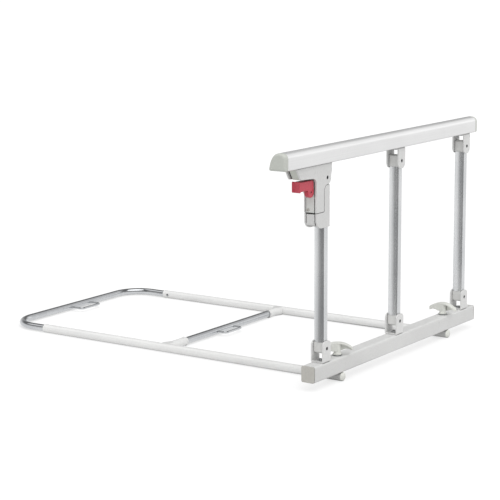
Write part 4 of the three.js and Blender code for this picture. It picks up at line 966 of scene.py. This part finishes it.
def makeCore():
    half, wall, rim, roof, top = latch["coreHalf"], core["wall"], core["rim"], core["roof"], core["top"]
    face, sole, guide, inLap = core["legFace"], core["legSole"], core["guide"], core["wallLap"]
    cap = slab(block(core["left"], core["right"], roof, top), "y", -half, half, rim)
    webHalf, depth, corner = half - core["webReveal"], core["webDepth"], core["webCorner"]
    toe, foot, head = core["webToe"], core["webFoot"], core["webTop"]
    web = slab([(head, roof + lap), (toe, foot, corner), (toe + depth, foot, corner),
                (head + depth, roof + lap)], "y", -webHalf, webHalf, rim)
    shelf = slab(block(face + inLap, core["legInner"] - inLap, guide - core["guideThickness"], guide), "y",
                 core["guideGap"] - half, half - core["guideGap"])
    (pinX, pinZ), eye, lugCorner = leverPin["place"], core["lugRadius"], core["lugCorner"]
    lug = slab(block(pinX - eye, face + inLap, pinZ - eye, pinZ + eye, lugCorner, 0, 0, lugCorner), "y",
               *core["lug"])
    window = slab(block(-core["windowHalf"], core["windowHalf"], *core["window"]), "x",
                  face - core["windowRun"], face + wall + lap)
    screws = [rod(bar["screwHole"], "z", roof - wall - past, top + lap, place) for place in core["railScrews"]]
    whole = cut(combined("UNION", legShape(), cap, web, shelf, lug), window,
                rod(bolt["room"], "z", sole - past, guide + past, bolt["place"]),
                rod(core["screwHole"], "x", face - past, face + core["screwDepth"], *core["screw"]),
                rod(leverPin["hole"], "y", 0, half + past, pinX, pinZ), *screws)
    placePiece("latchCore", whole, firstHead, "coreGreen")


lever = {"half": 9.35, "left": -94.3, "top": 2.5, "bottom": -21, "pad": 5, "padCorner": 2.2,
         "floorCorner": 1, "topCorner": 3, "armTop": -0.5, "armFloor": -19.3, "back": -42.5, "backCorner": 5,
         "wall": 2.5, "rim": 1.1, "rib": -76, "ribInset": 1.5, "lobe": 11, "lobeCorner": 10.9, "lobeBack": 0.45,
         "thumb": 1, "thumbWidth": 15, "thumbSteps": 160, "tailReach": 26.5, "tail": 4.4, "tailTop": -14.6,
         "tailHalf": 2.5, "tailCorner": 2.15}


def leverTail():  # reaches into the bolt's slot
    start, end = leverPin["place"][0], leverPin["place"][0] + lever["tailReach"]
    top, half, corner = lever["tailTop"], lever["tailHalf"], lever["tailCorner"]
    return slab(block(start, end, top - lever["tail"], top, 0, corner, corner, 0), "y", -half, half)


def makeLever():
    half, wall, rim, swell = lever["half"], lever["wall"], lever["rim"], lever["lobe"]
    left, top, bottom, floor, armTop, back = (
        lever[key] for key in ("left", "top", "bottom", "armFloor", "armTop", "back"))
    padBack, padCorner, lobeCorner = left + lever["pad"], lever["padCorner"], lever["lobeCorner"]
    pinX, pinZ = leverPin["place"]
    arm = slab([(left, top, padCorner), (left, bottom, padCorner), (padBack, bottom, padCorner),
                (padBack, floor, lever["floorCorner"]), (back, floor), (back, armTop, lever["backCorner"]),
                (padBack, armTop, lever["topCorner"])], "y", -half, half, rim)
    lobe = slab(block(pinX - swell, pinX + swell, pinZ - swell, floor + lap, lobeCorner, lobeCorner, 0, 0), "y",
                -half, lever["lobeBack"], rim)
    hollow = slab(block(padBack, pinX - swell, floor - lap, armTop - wall), "y", wall - half, half - wall)
    ribPlace, ribHalf = lever["rib"], half - lever["ribInset"]
    rib = slab(block(ribPlace - wall / 2, ribPlace + wall / 2, floor + lap, armTop - lap), "y",
               -ribHalf, ribHalf)
    dip = lever["thumb"]
    radius = ((lever["thumbWidth"] / 2) ** 2 + dip ** 2) / (2 * dip)
    thumb = rod(radius, "z", bottom - past, top + past, left + dip - radius, steps=lever["thumbSteps"])
    whole = combined("UNION", cut(arm, hollow), rib, lobe, leverTail())
    whole = cut(whole, thumb, rod(leverPin["hole"], "y", -half - past, half, pinX, pinZ))
    placePiece("releaseLever", whole, firstHead, "leverRed")


spring = {"wire": 0.6, "wireSteps": 8, "radius": 4.5, "turns": 7, "stepsInTurn": 18, "foot": 0.3, "head": 21.7,
          "lift": 6.3}


def makeSpring():  # the coil under the core's roof, built at rest; the real one shortens as the bolt rises
    wire, length = spring["wire"], spring["head"] - spring["foot"]
    steps = spring["turns"] * spring["stepsInTurn"]
    climb = (0, 0, (length - 2 * wire) / steps)
    bm = bmesh.new()
    ring = bmesh.ops.create_circle(bm, radius=wire, segments=spring["wireSteps"])["verts"]
    bmesh.ops.rotate(bm, verts=ring, cent=(0, 0, 0), matrix=Matrix.Rotation(math.pi / 2, 3, "X"))
    bmesh.ops.translate(bm, verts=ring, vec=(spring["radius"], 0, spring["foot"] + wire))
    first = bm.edges[:]
    last = bmesh.ops.spin(bm, geom=first, cent=(0, 0, 0), axis=(0, 0, 1), dvec=climb,
                          angle=2 * math.pi * spring["turns"], steps=steps)["geom_last"]
    bmesh.ops.holes_fill(bm, edges=first + only(bmesh.types.BMEdge, last), sides=0)
    x, y, z = firstHead
    piece = placePiece("boltSpring", bm, (x + bolt["place"], y, z), "steel")
    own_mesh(piece)


makePlates()
makeSleeve()
makeCore()
makeLever()
makeSpring()
print("latch made")

# Finishes of the CAD nodes that stay

keptNodes = {
    "steel": ("latch_bolt", "lever_pin", "housing_screw_1", "housing_screw_2", "clamp_bolt_near",
              "clamp_bolt_far", "snap_clip_near", "snap_clip_far"),
    "capGrey": ("leg_screw",),
}
for finish, names in keptNodes.items():
    for name in names:
        nodes[name].data.materials.clear()
        nodes[name].data.materials.append(finishes[finish])

# Floor, lights and surroundings

studio = {"sun": 1.32, "sunFrom": (-0.3, -0.35, 0.9), "sunSoftness": 60, "world": 0.75, "floorSize": 60,
          "floor": 168, "floorLift": 0.62, "bounce": 0.42, "speck": 3.0, "speckTone": 1.02,
          "centre": (0, -0.44, 0), "gloom": 0.15, "roof": 0.2, "roofRange": (0.1, 0.5)}
# A glow or softbox has its direction, the range of its edge and its strength.
glows = [((-0.15, 0.98, 0), (0.25, 0.97), 0.82), ((0.62, -0.78, 0), (0.15, 0.9), 0.66)]
softboxes = [((0.85, -0.3, 0.45), (0.84, 0.98), 0.5), ((-0.2, 0.56, 0.8), (0.92, 0.98), 0.75)]


def lit(board, level, heading, lamps):
    for towards, reach, strength in lamps:
        level = level + board.ranged(board.dot(heading, Vector(towards).normalized()), *reach) * strength
    return level


def surroundings(board, heading):  # what a glossy surface sees, by the level heading from the rail
    flat = board.vectors("NORMALIZE", board.vectors("MULTIPLY", heading, (1, 1, 0)))
    return lit(board, studio["gloom"], flat, glows)


def makeFloor():  # pale to the camera, and lit like the surroundings in reflections
    bm = bmesh.new()
    bmesh.ops.create_grid(bm, x_segments=1, y_segments=1, size=studio["floorSize"])
    floor = objectOf(bm, "floor")
    ground = bpy.data.materials.new("floor white")
    ground.use_nodes = True
    board = Board(ground.node_tree)
    pale = tone(studio["floor"], studio["floor"], studio["floor"])
    colour = board.mix(board.noise(studio["speck"], 2.0), pale, scaled(pale, studio["speckTone"]))
    matt = board.add("ShaderNodeBsdfDiffuse", values=[colour])
    glow = (board.ray("camera") + board.ray("transmission")) * studio["floorLift"]
    glow = glow + board.ray("diffuse") * studio["bounce"]
    lift = board.add("ShaderNodeEmission", values=[(1, 1, 1, 1), glow])
    plain = board.add("ShaderNodeAddShader", values=[matt, lift])
    gloss = board.ray("glossy")
    offset = board.vectors("SUBTRACT", board.add("ShaderNodeTexCoord", output=3), studio["centre"])
    mirrored = board.add("ShaderNodeEmission", values=[surroundings(board, offset), gloss])
    board.add("ShaderNodeOutputMaterial", values=[
        board.add("ShaderNodeMixShader", values={0: gloss, 1: plain, 2: mirrored})])
    floor.data.materials.append(ground)


def makeSun():
    lamp = bpy.data.objects.new("sun", bpy.data.lights.new("sun", "SUN"))
    lamp.data.energy = studio["sun"]
    lamp.data.angle = math.radians(studio["sunSoftness"])
    lamp.rotation_euler = Vector(studio["sunFrom"]).to_track_quat("Z", "Y").to_euler()
    bpy.context.scene.collection.objects.link(lamp)


def makeWorld():  # white to the camera, even light on the object, and a room with softboxes in reflections
    world = bpy.data.worlds.new("studio")
    world.use_nodes = True
    board = Board(world.node_tree)
    heading = board.add("ShaderNodeTexCoord", output=0)
    up = board.add("ShaderNodeSeparateXYZ", values=[heading], output=2)
    high = board.ranged(up, *studio["roofRange"])
    level = surroundings(board, heading) * (1 - high) + high * studio["roof"]
    level = lit(board, level, heading, softboxes)
    plain = board.mix(board.ray("glossy"), (studio["world"],) * 3 + (1,), level)
    seen = board.mix(board.ray("camera"), plain, (1, 1, 1, 1))
    board.add("ShaderNodeOutputWorld", values=[board.add("ShaderNodeBackground", values=[seen, 1.0])])
    bpy.context.scene.world = world


makeFloor()
makeSun()
makeWorld()
bpy.context.scene.view_settings.view_transform = "Standard"
print("studio made")
